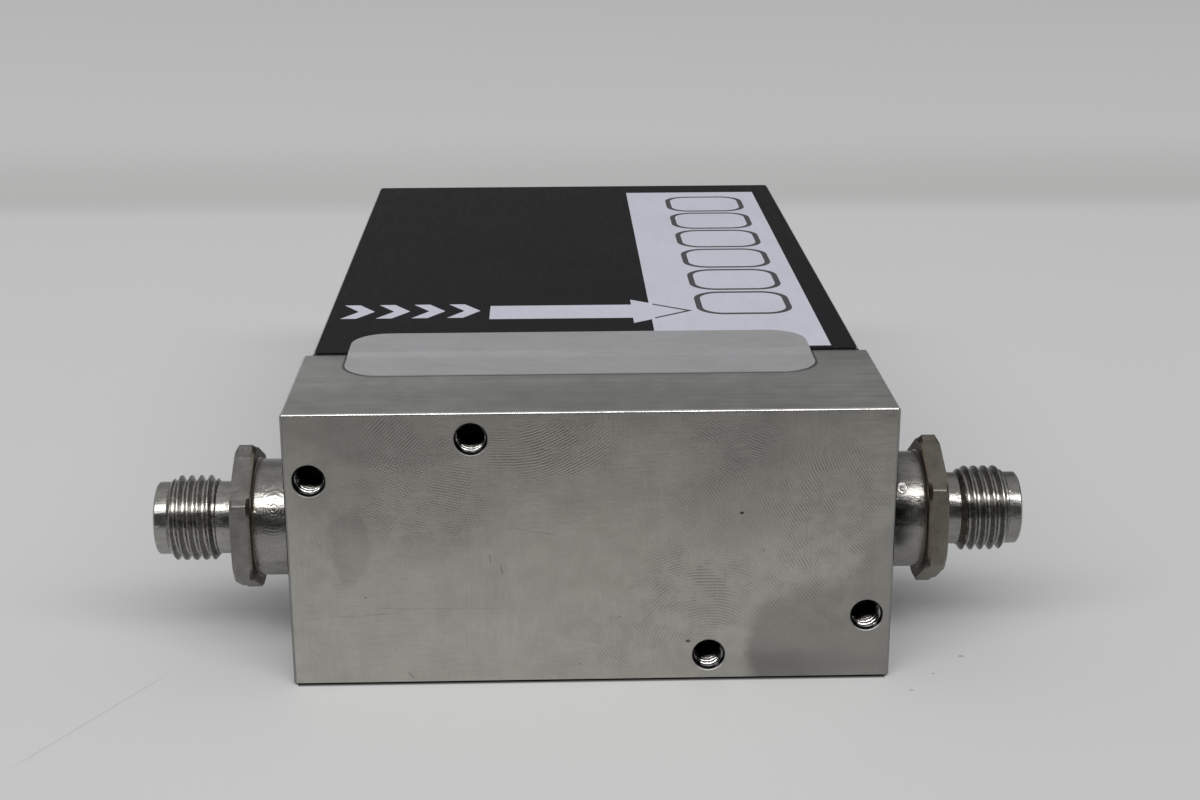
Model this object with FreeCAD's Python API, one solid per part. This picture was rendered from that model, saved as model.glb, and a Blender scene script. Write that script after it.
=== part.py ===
import FreeCAD, Part
import math
import os

Vector = FreeCAD.Vector

# Thermal mass flow meter, lying on its large back face with its label up. All sizes are in millimetres.
# The origin is the middle of the base block's resting face.
# +X runs with the flow, +Y from the tapped mounting face to the connector, +Z out of the label.

# Base block
block_width = 76.2
block_depth = 25.4
block_thickness = 36.5
edge_break = 0.35

# Tapped blind holes in the mounting face, two pairs on opposite diagonals
mount_hole_radius = 2.083
mount_mouth_radius = 2.16
mount_hole_depth = 7.1
wide_pair_side_inset = 3.175
wide_pair_rise = 9.525
narrow_pair_half_span = 14.85
narrow_pair_face_inset = 3.5
drill_point_half_angle = 59.0

# Flow passage through the block
port_thread_radius = 6.35
port_thread_depth = 10.0
ring_recess_depth = 2.0
inlet_bore_radius = 5.5
outlet_bore_radius = 4.8

# Fittings, from the block's side face outwards
neck_radius = 7.6
neck_length = 5.0
neck_overlap = 0.4
hex_across_flats = 17.46
hex_thickness = 2.6
hex_corner_cut = 0.45
inlet_hex_turn = 28.4
outlet_hex_turn = 34.0
relief_radius = 4.725
relief_length = 2.5
tube_thread_radius = 5.555
tube_thread_root_radius = 4.87
tube_thread_pitch = 1.27
tube_thread_turns = 5
nose_radius = 4.72
nose_length = 1.65
nose_edge_break = 0.2
tube_bore_radius = 3.225
tube_bore_depth = 15.2
tube_mouth_radius = 4.0
tube_mouth_half_angle = 12.0
through_bore_radius = 2.4
port_thread_engagement = 7.5
port_thread_lead = 0.6
screen_radius = 4.5
screen_thickness = 0.8
screen_hole_radius = 0.4
screen_hole_pitch = 1.25
fitting_ring_section = 1.7

# Laminar bypass element and its retaining ring
element_length = 18.0
element_channel_radius = 0.45
element_channel_pitch = 1.4
channel_rings = 3
retainer_thickness = 1.0
retainer_width = 1.2
retainer_groove_depth = 0.4
retainer_gap_angle = 50.0
retainer_lug_radius = 1.0
retainer_lug_hole_radius = 0.45

# Flow sensor on the block's case side
sensor_port_spacing = 25.4
sensor_port_radius = 1.2
sensor_base_width = 12.7
sensor_base_height = 6.35
sensor_base_end_margin = 3.2
sensor_screw_wall = 1.25
port_ring_radius = 2.25
port_ring_section = 1.0
capillary_radius = 0.6
capillary_bore_radius = 0.4
capillary_bend_radius = 3.0
capillary_rise = 15.5
capillary_seat_depth = 3.35
winding_length = 7.0
winding_gap = 4.0
winding_wire = 0.5
cover_screw_gap = 0.5
cover_side_step = 0.35
cover_headroom = 4.5
cover_wall = 1.0
lead_radius = 0.3

# Case and face label
case_width = 74.1
case_length = 110.7
case_wall = 1.0
case_edge_radius = 0.4
label_thickness = 0.25
label_side_margin = 0.4
label_near_margin = 0.1
label_corner_radius = 0.6

# Print on the label: margins from the label's edges, offsets from the block's case face
white_side_margin = 3.35
white_far_margin = 6.4
white_near = 1.1
white_width = 23.65
arrow_tail_gap = 1.4
arrow_neck_gap = 2.65
arrow_head_length = 8.85
arrow_offset = 19.8
arrow_shaft_width = 7.2
arrow_head_width = 12.8
grey_line = 0.9
tip_line = 0.5
grey_depth = 0.12
cell_left_margin = 6.85
cell_right_margin = 2.8
cell_first = 17.5
cell_length = 13.0
cell_pitch = 13.9
cell_end_margin = 3.0
cell_corner_radius = 4.0
chevron_count = 4
chevron_margin = 1.65
chevron_pitch = 5.1
chevron_stroke = 2.3
chevron_reach = 2.4
chevron_height = 7.4
chevron_offset = 20.8

# Seal sticker across the joint of block and case
seal_left_margin = 4.95
seal_right_margin = 6.85
seal_width = 18.9
seal_near = 10.05
seal_corner_radius = 5.0
seal_thickness = 0.1
seal_ramp = 2.5

# Board bracket, a folded sheet screwed to the block
bracket_sheet = 1.5
bracket_case_gap = 0.5
bracket_side_gap = 0.15
bracket_top_margin = 2.5
bracket_plate_end_gap = 5.0
bracket_bend_radius = 0.6
bracket_ear_height = 13.0
bracket_ear_width = 20.0
bracket_window_margin = 1.5
bracket_screw_margin = 4.0
bracket_edge_margin = 4.0
bracket_screw_spacing_z = 21.0

# Circuit board and what carries it
board_thickness = 1.6
board_edge_margin = 0.7
board_corner_radius = 1.0
board_near_gap = 2.0
board_end_gap = 0.3
standoff_across_flats = 4.76
standoff_height = 7.3
standoff_shank_radius = 1.9
standoff_side_inset = 4.0
standoff_near_inset = 5.0
standoff_far_inset = 17.0

# Terminal block of the sensor leads
header_length = 22.0
header_depth = 8.0
header_height = 9.0
pocket_width = 1.8
pocket_depth = 2.0
pocket_height = 4.5
header_gap = 3.0

# Parts on the board; a place is a share of the room between the terminal block and the connector's pins
chip_length = 9.6
chip_width = 6.4
chip_height = 3.3
chip_leg_width = 0.5
chip_leg_pitch = 2.54
chip_leg_reach = 0.7
chip_standoff = 0.5
chip_spacing_x = 16.0
chip_side_margin = 12.0
chip_row_places = (0.19, 0.5)
can_radius = 3.15
can_height = 11.0
can_neck_depth = 0.3
can_x = 14.0
can_places = (0.14, 0.3, 0.46)
film_length = 7.2
film_width = 2.5
film_height = 6.5
film_side_margin = 7.0
film_places = (0.12, 0.23, 0.34, 0.45)
resistor_radius = 1.1
resistor_length = 6.0
resistor_lead_radius = 0.3
resistor_lead_reach = 1.4
resistor_lift = 0.3
resistor_spacing = 5.0
resistor_row_place = 0.82
resistor_count = 8
regulator_width = 10.0
regulator_body_height = 9.0
regulator_body_depth = 4.5
regulator_tab_height = 6.0
regulator_tab_thickness = 1.3
regulator_hole_radius = 1.8
regulator_leg = 0.8
regulator_leg_height = 3.5
regulator_leg_pitch = 2.54
regulator_x = 4.0
regulator_place = 0.63

# Fifteen-way D-type connector in the far end of the case
flange_side_margin = 2.94
flange_height = 12.5
flange_thickness = 1.0
flange_corner_radius = 1.5
shell_width = 25.25
shell_height = 8.36
shell_depth = 6.9
shell_wall = 0.5
shell_slant = 10.0
shell_corner_radius = 2.2
connector_height = 6.35
insulator_side_step = 0.325
insulator_depth = 9.0
insulator_front = 0.5
pin_radius = 0.5
pin_reach = 5.4
pin_pitch = 2.77
pin_row_gap = 2.84
pin_side_margin = 2.0
pin_tail_gap = 1.2
pin_tail_row_gap = 2.54
pin_tail_below = 1.2
jack_shell_gap = 4.035
jack_across_flats = 4.76
jack_length = 4.8
jack_shank_radius = 1.4
jack_tap_radius = 1.27
jack_tap_depth = 4.0
jack_nut_across_flats = 6.35
jack_nut_thickness = 2.2

# Zero adjustment trimmer beside the connector
trimmer_gap = 1.4
trimmer_size = 8.6
trimmer_depth = 4.8
trimmer_setback = 0.2
rotor_radius = 2.6
rotor_depth = 1.8
rotor_slot_width = 0.7
rotor_slot_depth = 0.8
rotor_slot_turn = 35.0
adjust_hole_radius = 2.2

# Small screws
screw_radius = 1.4
screw_head_radius = 2.3
screw_head_height = 1.6
screw_head_edge = 0.6
screw_recess_width = 0.7
screw_recess_span = 2.6
screw_recess_depth = 0.9
sensor_screw_bite = 5.3
bracket_screw_bite = 5.0
board_screw_bite = 4.0
case_screw_offset = 7.5
case_screw_length = 4.0

# Clearances
fit_gap = 0.05
passage_gap = 0.3
seat_gap = 0.15

# Places that follow from the sizes above
flow_z = block_thickness / 2
side_face = block_width / 2
mount_face = -block_depth / 2
wide_pair_half_span = side_face - wide_pair_side_inset
narrow_pair_rise = block_thickness / 2 - narrow_pair_face_inset
case_face = block_depth / 2
case_end = case_face + case_length
case_end_inner = case_end - case_wall
case_side = case_width / 2
label_top = block_thickness + label_thickness
label_side = case_side - label_side_margin
white_right = label_side - white_side_margin
white_left = white_right - white_width
white_far = case_end - label_side_margin - white_far_margin
chevron_first = chevron_margin - label_side
chevrons_end = chevron_first + (chevron_count - 1) * chevron_pitch + chevron_stroke + chevron_reach
arrow_tail = chevrons_end + arrow_tail_gap
arrow_neck = white_left - arrow_neck_gap
arrow_tip = arrow_neck + arrow_head_length
cell_left = white_left + cell_left_margin
cell_right = white_right - cell_right_margin
cell_near = case_face + cell_first
cell_count = int((white_far - cell_end_margin - cell_near - cell_length) / cell_pitch) + 1
hex_inner_face = side_face + neck_length
hex_outer_face = hex_inner_face + hex_thickness
tube_thread_start = hex_outer_face + relief_length
tube_thread_end = tube_thread_start + tube_thread_turns * tube_thread_pitch
nose_end = tube_thread_end + nose_length
tube_bore_floor = nose_end - tube_bore_depth
ring_recess_radius = neck_radius - neck_overlap
ring_recess_floor = side_face - ring_recess_depth
port_floor = ring_recess_floor - port_thread_depth
fitting_inner_end = ring_recess_floor - port_thread_engagement
element_face = element_length / 2
sensor_port_x = sensor_port_spacing / 2
port_groove_reach = port_ring_section / 2 + fit_gap
sensor_screw_hole = screw_radius + seat_gap
sensor_screw_x = sensor_port_x + port_ring_radius + port_groove_reach + sensor_screw_wall + sensor_screw_hole
sensor_base_half = sensor_screw_x + sensor_base_end_margin
cover_half_length = sensor_screw_x - screw_head_radius - cover_screw_gap
cover_half_width = sensor_base_width / 2 - cover_side_step
sensor_base_top = case_face + sensor_base_height
capillary_y = sensor_base_top + capillary_rise
winding_radius = capillary_radius + fit_gap + winding_wire
cover_top = capillary_y + cover_headroom
header_face = cover_top + header_gap
board_near = cover_top + board_near_gap
board_end = case_end_inner - flange_thickness - board_end_gap
bracket_low = case_wall + bracket_case_gap
bracket_high = block_thickness - case_wall - bracket_top_margin
bracket_side = case_side - case_wall - bracket_side_gap
bracket_top = case_face + bracket_sheet
bracket_window_half = sensor_base_half + bracket_window_margin
bracket_screw_x = bracket_window_half + bracket_screw_margin
bracket_plate_half = bracket_screw_x + bracket_edge_margin
standoff_x = bracket_plate_half - standoff_side_inset
standoff_base = bracket_low + bracket_sheet
board_bottom = standoff_base + standoff_height
board_top = board_bottom + board_thickness
connector_z = board_top + connector_height
insulator_back = case_end_inner - flange_thickness - insulator_depth
insulator_width = shell_width - 2 * insulator_side_step
pin_long_row = int((insulator_width - 2 * pin_side_margin) / pin_pitch) + 1
jack_x = shell_width / 2 + jack_shell_gap
flange_half_width = jack_x + flange_side_margin
header_far = header_face + header_depth
parts_room = insulator_back - pin_tail_gap - pin_tail_row_gap - header_far
trimmer_face = board_end - trimmer_setback
trimmer_z = board_top + trimmer_size / 2
trimmer_x = jack_x + jack_nut_across_flats / math.sqrt(3) + trimmer_gap + trimmer_size / 2
board_side = trimmer_x + trimmer_size / 2 + board_edge_margin
flow_direction = Vector(1, 0, 0)
away = Vector(0, 1, 0)
up = Vector(0, 0, 1)


def box(x0, x1, y0, y1, z0, z1):
    """Block between two corners."""
    return Part.makeBox(x1 - x0, y1 - y0, z1 - z0, Vector(x0, y0, z0))


def rod(start, direction, length, radius):
    """Round bar from a point along a direction."""
    return Part.makeCylinder(radius, length, start, direction)


def prism(points, direction):
    """Straight solid on a flat outline."""
    outline = Part.makePolygon(points + [points[0]])
    return Part.Face(outline).extrude(direction)


def turned(profile, side=1):
    """Solid turned about the flow axis from (distance along it, radius) pairs."""
    points = [Vector(side * along, radius, flow_z) for along, radius in profile]
    outline = Part.makePolygon(points + [points[0]])
    return Part.Face(outline).revolve(Vector(0, 0, flow_z), flow_direction, 360)


def edges_on(shape, x=None, y=None, z=None):
    """Edges that lie in the given coordinate planes."""
    found = []
    for edge in shape.Edges:
        limits = edge.BoundBox
        spans = ((x, limits.XMin, limits.XMax), (y, limits.YMin, limits.YMax), (z, limits.ZMin, limits.ZMax))
        if all(value is None or (abs(low - value) < 1e-6 and abs(high - value) < 1e-6)
               for value, low, high in spans):
            found.append(edge)
    return found


def slab(x0, x1, y0, y1, z0, z1, radius):
    """Flat plate with rounded corners."""
    plate = box(x0, x1, y0, y1, z0, z1)
    corners = [edge for x in (x0, x1) for y in (y0, y1) for edge in edges_on(plate, x=x, y=y)]
    return plate.makeFillet(radius, corners)


def placed(shape, position, direction):
    """Shape made about +Z at the origin, turned to a direction and moved to a position."""
    shape.Placement = FreeCAD.Placement(position, FreeCAD.Rotation(up, direction))
    return shape


def hexagon(across_flats, length, hole_radius=0.0):
    """Hexagonal bar about +Z with an optional hole."""
    corner = across_flats / math.sqrt(3)
    angles = [math.radians(60 * step) for step in range(6)]
    points = [Vector(corner * math.cos(angle), corner * math.sin(angle), 0) for angle in angles]
    bar = prism(points, Vector(0, 0, length))
    if hole_radius:
        bar = bar.cut(rod(Vector(0, 0, 0), up, length, hole_radius))
    return bar


def hex_grid(pitch, rings):
    """Centres of a hexagonal pattern as pairs."""
    centres = []
    for row in range(-rings, rings + 1):
        columns = 2 * rings + 1 - abs(row)
        for column in range(columns):
            across = (column - (columns - 1) / 2) * pitch
            centres.append((across, row * pitch * math.sqrt(3) / 2))
    return centres


def screw(position, direction, length):
    """Pan-head screw, its head bearing at position and its shank along direction."""
    head = rod(Vector(0, 0, 0), up, screw_head_height, screw_head_radius)
    head = head.makeFillet(screw_head_edge, edges_on(head, z=screw_head_height)[:1])
    body = head.fuse(rod(Vector(0, 0, -length), up, length, screw_radius))
    span = screw_recess_span / 2
    width = screw_recess_width / 2
    floor = screw_head_height - screw_recess_depth
    bars = [box(-span, span, -width, width, floor, screw_head_height),
            box(-width, width, -span, span, floor, screw_head_height)]
    return placed(body.cut(bars), position, direction * -1)


def blind_hole(mouth, direction, radius, depth):
    """Drilled hole with a conical floor, running from its mouth along direction."""
    point = radius / math.tan(math.radians(drill_point_half_angle))
    hole = rod(mouth, direction, depth, radius)
    tip = Part.makeCone(radius, 0, point, mouth + direction * depth, direction)
    return hole.fuse(tip)


def mount_holes():
    """The four tapped holes of the mounting face, each with a broken edge at its mouth."""
    centres = [(-wide_pair_half_span, wide_pair_rise), (wide_pair_half_span, -wide_pair_rise),
               (-narrow_pair_half_span, narrow_pair_rise), (narrow_pair_half_span, -narrow_pair_rise)]
    cuts = []
    for across, rise in centres:
        mouth = Vector(across, mount_face, flow_z + rise)
        cuts.append(blind_hole(mouth, away, mount_hole_radius, mount_hole_depth))
        depth = mount_mouth_radius - mount_hole_radius
        cuts.append(Part.makeCone(mount_mouth_radius, mount_hole_radius, depth, mouth, away))
    return cuts


def flow_passage():
    """Everything bored along the flow axis of the block."""
    ports = []
    for side in (-1, 1):
        ports.append(turned([(port_floor, 0), (port_floor, port_thread_radius),
                             (ring_recess_floor, port_thread_radius), (ring_recess_floor, ring_recess_radius),
                             (side_face, ring_recess_radius), (side_face, 0)], side))
    groove_end = element_face + retainer_thickness + fit_gap
    groove_radius = inlet_bore_radius + retainer_groove_depth
    inlet = turned([(-port_floor, 0), (-port_floor, inlet_bore_radius), (-groove_end, inlet_bore_radius),
                    (-groove_end, groove_radius), (-element_face, groove_radius),
                    (-element_face, inlet_bore_radius), (element_face, inlet_bore_radius), (element_face, 0)])
    shoulder = Vector(element_face, 0, flow_z)
    outlet = rod(shoulder, flow_direction, port_floor - element_face, outlet_bore_radius)
    return ports + [inlet, outlet]


def bracket_screw_places():
    """Four points about the flow axis on the block's case side."""
    return [Vector(x * bracket_screw_x, case_face, flow_z + z * bracket_screw_spacing_z / 2)
            for x in (-1, 1) for z in (-1, 1)]


def along_room(place):
    """Distance along the case of a share of the room between terminal block and connector."""
    return header_far + place * parts_room


def make_base_block():
    block = box(-side_face, side_face, mount_face, case_face, 0, block_thickness)
    block = block.makeChamfer(edge_break, block.Edges)
    cuts = mount_holes() + flow_passage()
    for side in (-1, 1):
        port = Vector(side * sensor_port_x, 0, flow_z)
        cuts.append(rod(port, away, case_face, sensor_port_radius))
        mouth = Vector(side * sensor_screw_x, case_face, flow_z)
        cuts.append(blind_hole(mouth, away * -1, screw_radius + fit_gap, sensor_screw_bite))
    for mouth in bracket_screw_places():
        cuts.append(blind_hole(mouth, away * -1, screw_radius + fit_gap, bracket_screw_bite))
    return block.cut(cuts)


def thread_ridges():
    """Outline of the tube thread: equal sixty degree ridges from the relief to the nose."""
    flank = (tube_thread_radius - tube_thread_root_radius) * math.tan(math.radians(30))
    crest = tube_thread_pitch / 8
    points = []
    for turn in range(tube_thread_turns):
        middle = tube_thread_start + (turn + 0.5) * tube_thread_pitch
        points += [(middle - crest / 2 - flank, tube_thread_root_radius),
                   (middle - crest / 2, tube_thread_radius),
                   (middle + crest / 2, tube_thread_radius),
                   (middle + crest / 2 + flank, tube_thread_root_radius)]
    return points


def fitting_bore(side):
    """Tube socket with its conical mouth, and the passage behind it."""
    mouth_depth = (tube_mouth_radius - tube_bore_radius) / math.tan(math.radians(tube_mouth_half_angle))
    return turned([(fitting_inner_end, 0), (fitting_inner_end, through_bore_radius),
                   (tube_bore_floor, through_bore_radius), (tube_bore_floor, tube_bore_radius),
                   (nose_end - mouth_depth, tube_bore_radius), (nose_end, tube_mouth_radius),
                   (nose_end, 0)], side)


def fitting_hexagon(side, turn):
    """Wrench hexagon about the flow axis with its corners cut back on both faces."""
    corner = hex_across_flats / math.sqrt(3)
    angles = [math.radians(turn + 60 * step) for step in range(6)]
    points = [Vector(side * hex_inner_face, -corner * math.cos(angle), flow_z + corner * math.sin(angle))
              for angle in angles]
    bar = prism(points, flow_direction * (side * hex_thickness))
    slope = hex_corner_cut * math.tan(math.radians(30))
    limits = turned([(hex_inner_face, 0), (hex_inner_face, corner - hex_corner_cut),
                     (hex_inner_face + slope, corner), (hex_outer_face - slope, corner),
                     (hex_outer_face, corner - hex_corner_cut), (hex_outer_face, 0)], side)
    return bar.common(limits)


def make_fitting(side, turn, screened):
    """Whole fitting of one side, with a seat for the screen at its inner end if it has one."""
    thread_radius = port_thread_radius - fit_gap
    groove_radius = ring_recess_radius - 2 * fit_gap - fitting_ring_section
    shank = [(fitting_inner_end, 0), (fitting_inner_end, thread_radius - port_thread_lead),
             (fitting_inner_end + port_thread_lead, thread_radius), (ring_recess_floor, thread_radius),
             (ring_recess_floor, groove_radius), (side_face, groove_radius), (side_face, neck_radius),
             (hex_inner_face, neck_radius), (hex_inner_face, relief_radius)]
    nose = [(tube_thread_end, nose_radius), (nose_end - nose_edge_break, nose_radius),
            (nose_end, nose_radius - nose_edge_break), (nose_end, 0)]
    body = turned(shank + [(tube_thread_start, relief_radius)] + thread_ridges() + nose, side)
    cuts = [fitting_bore(side)]
    if screened:
        seat = Vector(side * fitting_inner_end, 0, flow_z)
        cuts.append(rod(seat, flow_direction * side, screen_thickness, screen_radius))
    return body.fuse(fitting_hexagon(side, turn)).cut(cuts)


def make_fitting_ring(side):
    section = fitting_ring_section / 2
    centre = Vector(side * (side_face - ring_recess_depth / 2), 0, flow_z)
    return Part.makeTorus(ring_recess_radius - fit_gap - section, section, centre, flow_direction)


def make_inlet_screen():
    """Mesh disc in the inner end of the inlet fitting."""
    seat = Vector(-fitting_inner_end, 0, flow_z)
    disc = rod(seat, flow_direction * -1, screen_thickness, screen_radius - fit_gap)
    rings = int((screen_radius - 2 * screen_hole_radius) / screen_hole_pitch)
    holes = [rod(seat + Vector(0, across, rise), flow_direction * -1, screen_thickness, screen_hole_radius)
             for across, rise in hex_grid(screen_hole_pitch, rings)]
    return disc.cut(holes)


def make_bypass_element():
    """Laminar flow element: a plug with a bundle of straight channels."""
    start = Vector(-element_face, 0, flow_z)
    plug = rod(start, flow_direction, element_length, inlet_bore_radius - fit_gap)
    channels = [rod(start + Vector(0, across, rise), flow_direction, element_length, element_channel_radius)
                for across, rise in hex_grid(element_channel_pitch, channel_rings)]
    return plug.cut(channels)


def make_retaining_ring():
    """Open ring in the bore's groove, with two eyes beside its gap."""
    outer = inlet_bore_radius + retainer_groove_depth - fit_gap
    inner = outer - retainer_width
    face = Vector(-element_face, 0, flow_z)
    backwards = flow_direction * -1
    ring = rod(face, backwards, retainer_thickness, outer)
    ring = ring.cut(rod(face, backwards, retainer_thickness, inner))
    half_gap = math.radians(retainer_gap_angle / 2)
    wedge = prism([face, face + Vector(0, -2 * outer * math.sin(half_gap), 2 * outer * math.cos(half_gap)),
                   face + Vector(0, 2 * outer * math.sin(half_gap), 2 * outer * math.cos(half_gap))],
                  backwards * retainer_thickness)
    ring = ring.cut(wedge)
    eye_angle = half_gap + retainer_lug_radius / inner
    eye_distance = inner - retainer_lug_radius / 2
    for hand in (-1, 1):
        eye = face + Vector(0, hand * eye_distance * math.sin(eye_angle), eye_distance * math.cos(eye_angle))
        ring = ring.fuse(rod(eye, backwards, retainer_thickness, retainer_lug_radius))
        ring = ring.cut(rod(eye, backwards, retainer_thickness, retainer_lug_hole_radius))
    return ring


def make_sensor_base():
    """Manifold block with a sensor port, a ring groove and a capillary seat at each end."""
    half = sensor_base_width / 2
    base = box(-sensor_base_half, sensor_base_half, case_face, sensor_base_top, flow_z - half, flow_z + half)
    cuts = []
    for side in (-1, 1):
        port = Vector(side * sensor_port_x, case_face, flow_z)
        cuts.append(rod(port, away, sensor_base_height - capillary_seat_depth, sensor_port_radius))
        cuts.append(rod(port, away, sensor_base_height, capillary_radius + fit_gap))
        depth = port_ring_section + fit_gap
        groove = rod(port, away, depth, port_ring_radius + port_groove_reach)
        cuts.append(groove.cut(rod(port, away, depth, port_ring_radius - port_groove_reach)))
        hole = Vector(side * sensor_screw_x, case_face, flow_z)
        cuts.append(rod(hole, away, sensor_base_height, sensor_screw_hole))
    return base.cut(cuts)


def make_port_rings():
    section = port_ring_section / 2
    return [Part.makeTorus(port_ring_radius, section,
                           Vector(side * sensor_port_x, case_face + section + fit_gap / 2, flow_z), away)
            for side in (-1, 1)]


def bent_bar(radius):
    """Solid bar along the capillary's U-shaped path."""
    foot = sensor_base_top - capillary_seat_depth
    bend = capillary_bend_radius
    pieces = []
    for side in (-1, 1):
        start = Vector(side * sensor_port_x, foot, flow_z)
        pieces.append(rod(start, away, capillary_y - bend - foot, radius))
        corner = Vector(side * sensor_port_x, capillary_y - bend, flow_z)
        circle = Part.Wire(Part.makeCircle(radius, corner, away))
        centre = Vector(side * (sensor_port_x - bend), capillary_y - bend, flow_z)
        pieces.append(Part.Face(circle).revolve(centre, up, side * 90))
    span = sensor_port_spacing - 2 * bend
    pieces.append(rod(Vector(-span / 2, capillary_y, flow_z), flow_direction, span, radius))
    return pieces[0].fuse(pieces[1:]).removeSplitter()


def make_sensor_tube():
    return bent_bar(capillary_radius).cut(bent_bar(capillary_bore_radius))


def make_winding(side):
    """Close-wound coil as a sleeve with one round-topped ridge for each visible turn."""
    inner = capillary_radius + fit_gap
    turns = int(winding_length / winding_wire)
    start = (winding_gap / 2) if side > 0 else (-winding_gap / 2 - winding_length)
    profile = [(start, inner)]
    for turn in range(turns):
        left = start + turn * winding_wire
        profile += [(left, winding_radius - winding_wire / 4), (left + winding_wire / 4, winding_radius),
                    (left + 3 * winding_wire / 4, winding_radius)]
    profile += [(start + turns * winding_wire, winding_radius - winding_wire / 4),
                (start + turns * winding_wire, inner)]
    points = [Vector(along, capillary_y + radius, flow_z) for along, radius in profile]
    outline = Part.makePolygon(points + [points[0]])
    return Part.Face(outline).revolve(Vector(0, capillary_y, flow_z), flow_direction, 360)


def lead_places():
    """Where a lead leaves each end of both windings."""
    near = winding_gap / 2 + winding_wire
    far = winding_gap / 2 + winding_length - winding_wire
    return [-far, -near, near, far]


def make_sensor_cover():
    cap = box(-cover_half_length, cover_half_length, sensor_base_top, cover_top,
              flow_z - cover_half_width, flow_z + cover_half_width)
    rims = [edge for side in (-1, 1) for edge in edges_on(cap, x=side * cover_half_length, y=cover_top)]
    cap = cap.makeFillet(cover_wall, rims)
    inner_length = cover_half_length - cover_wall
    inner_width = cover_half_width - cover_wall
    hollow = box(-inner_length, inner_length, sensor_base_top, cover_top - cover_wall,
                 flow_z - inner_width, flow_z + inner_width)
    holes = [rod(Vector(x, cover_top - cover_wall, flow_z), away, cover_wall, lead_radius + seat_gap)
             for x in lead_places()]
    return cap.cut([hollow] + holes)


def make_sensor_leads():
    start = capillary_y + winding_radius + fit_gap
    return [rod(Vector(x, start, flow_z), away, header_face - start, lead_radius) for x in lead_places()]


def make_sensor_header():
    """Terminal block with a screwless clamp pocket over each lead."""
    half = header_length / 2
    block = box(-half, half, header_face, header_face + header_depth, board_top, board_top + header_height)
    pocket_half = pocket_width / 2
    middle = header_face + header_depth / 2
    top = board_top + header_height
    pockets = [box(x - pocket_half, x + pocket_half, middle, middle + pocket_depth, top - pocket_height, top)
               for x in lead_places()]
    return block.cut(pockets)


def make_board_bracket():
    """Folded sheet: a foot on the block, two ears for the case screws and a plate for the board."""
    plate_end = case_end_inner - flange_thickness - bracket_plate_end_gap
    foot = box(-bracket_plate_half, bracket_plate_half, case_face, bracket_top, bracket_low, bracket_high)
    plate = box(-bracket_plate_half, bracket_plate_half, case_face, plate_end,
                bracket_low, bracket_low + bracket_sheet)
    folded = foot.fuse(plate).removeSplitter()
    outside = edges_on(folded, y=case_face, z=bracket_low)
    folded = folded.makeFillet(bracket_bend_radius + bracket_sheet, outside)
    inside = edges_on(folded, y=bracket_top, z=bracket_low + bracket_sheet)
    folded = folded.makeFillet(bracket_bend_radius, inside)
    ear_low = flow_z - bracket_ear_width / 2
    ear_high = flow_z + bracket_ear_width / 2
    screw_y = case_face + case_screw_offset
    for side in (-1, 1):
        inner = bracket_side - bracket_sheet
        ear = box(min(side * inner, side * bracket_side), max(side * inner, side * bracket_side),
                  case_face, case_face + bracket_ear_height, ear_low, ear_high)
        web_ends = sorted((side * bracket_screw_x, side * bracket_side))
        web = box(web_ends[0], web_ends[1], case_face, bracket_top, ear_low, ear_high)
        angle = ear.fuse(web).removeSplitter()
        angle = angle.makeFillet(bracket_bend_radius + bracket_sheet,
                                 edges_on(angle, x=side * bracket_side, y=case_face))
        angle = angle.makeFillet(bracket_bend_radius, edges_on(angle, x=side * inner, y=bracket_top))
        tap = Vector(side * inner, screw_y, flow_z)
        angle = angle.cut(rod(tap, flow_direction * side, bracket_sheet, screw_radius + fit_gap))
        folded = folded.fuse(angle)
    window_half_height = sensor_base_width / 2 + bracket_window_margin
    window = box(-bracket_window_half, bracket_window_half, case_face, bracket_top,
                 flow_z - window_half_height, flow_z + window_half_height)
    cuts = [window]
    for place in bracket_screw_places():
        cuts.append(rod(place, away, bracket_sheet, screw_radius + seat_gap))
    for x, y in standoff_places():
        cuts.append(rod(Vector(x, y, bracket_low), up, bracket_sheet, standoff_shank_radius + fit_gap))
    return folded.cut(cuts).removeSplitter()


def standoff_places():
    return [(side * standoff_x, y) for side in (-1, 1)
            for y in (board_near + standoff_near_inset, board_end - standoff_far_inset)]


def make_standoffs():
    """Clinched hexagonal spacers, tapped from the top."""
    posts = []
    for x, y in standoff_places():
        post = placed(hexagon(standoff_across_flats, standoff_height), Vector(x, y, standoff_base), up)
        post = post.fuse(rod(Vector(x, y, bracket_low), up, bracket_sheet, standoff_shank_radius))
        tap = blind_hole(Vector(x, y, board_bottom), up * -1, screw_radius + fit_gap, board_screw_bite)
        posts.append(post.cut(tap))
    return posts


def pin_places():
    """Cross position, height and tail position of each connector pin."""
    places = []
    for row, count in ((1, pin_long_row), (-1, pin_long_row - 1)):
        height = connector_z + row * pin_row_gap / 2
        tail = insulator_back - pin_tail_gap - (pin_tail_row_gap if row > 0 else 0)
        for number in range(count):
            places.append(((number - (count - 1) / 2) * pin_pitch, height, tail))
    return places


def make_main_board():
    board = slab(-board_side, board_side, board_near, board_end, board_bottom, board_top, board_corner_radius)
    cuts = [rod(Vector(x, y, board_bottom), up, board_thickness, screw_radius + seat_gap)
            for x, y in standoff_places()]
    cuts += [rod(Vector(x, tail, board_bottom), up, board_thickness, pin_radius + seat_gap)
             for x, height, tail in pin_places()]
    return board.cut(cuts)


def make_board_screws():
    return [screw(Vector(x, y, board_top), up * -1, board_thickness + board_screw_bite - passage_gap)
            for x, y in standoff_places()]


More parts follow.
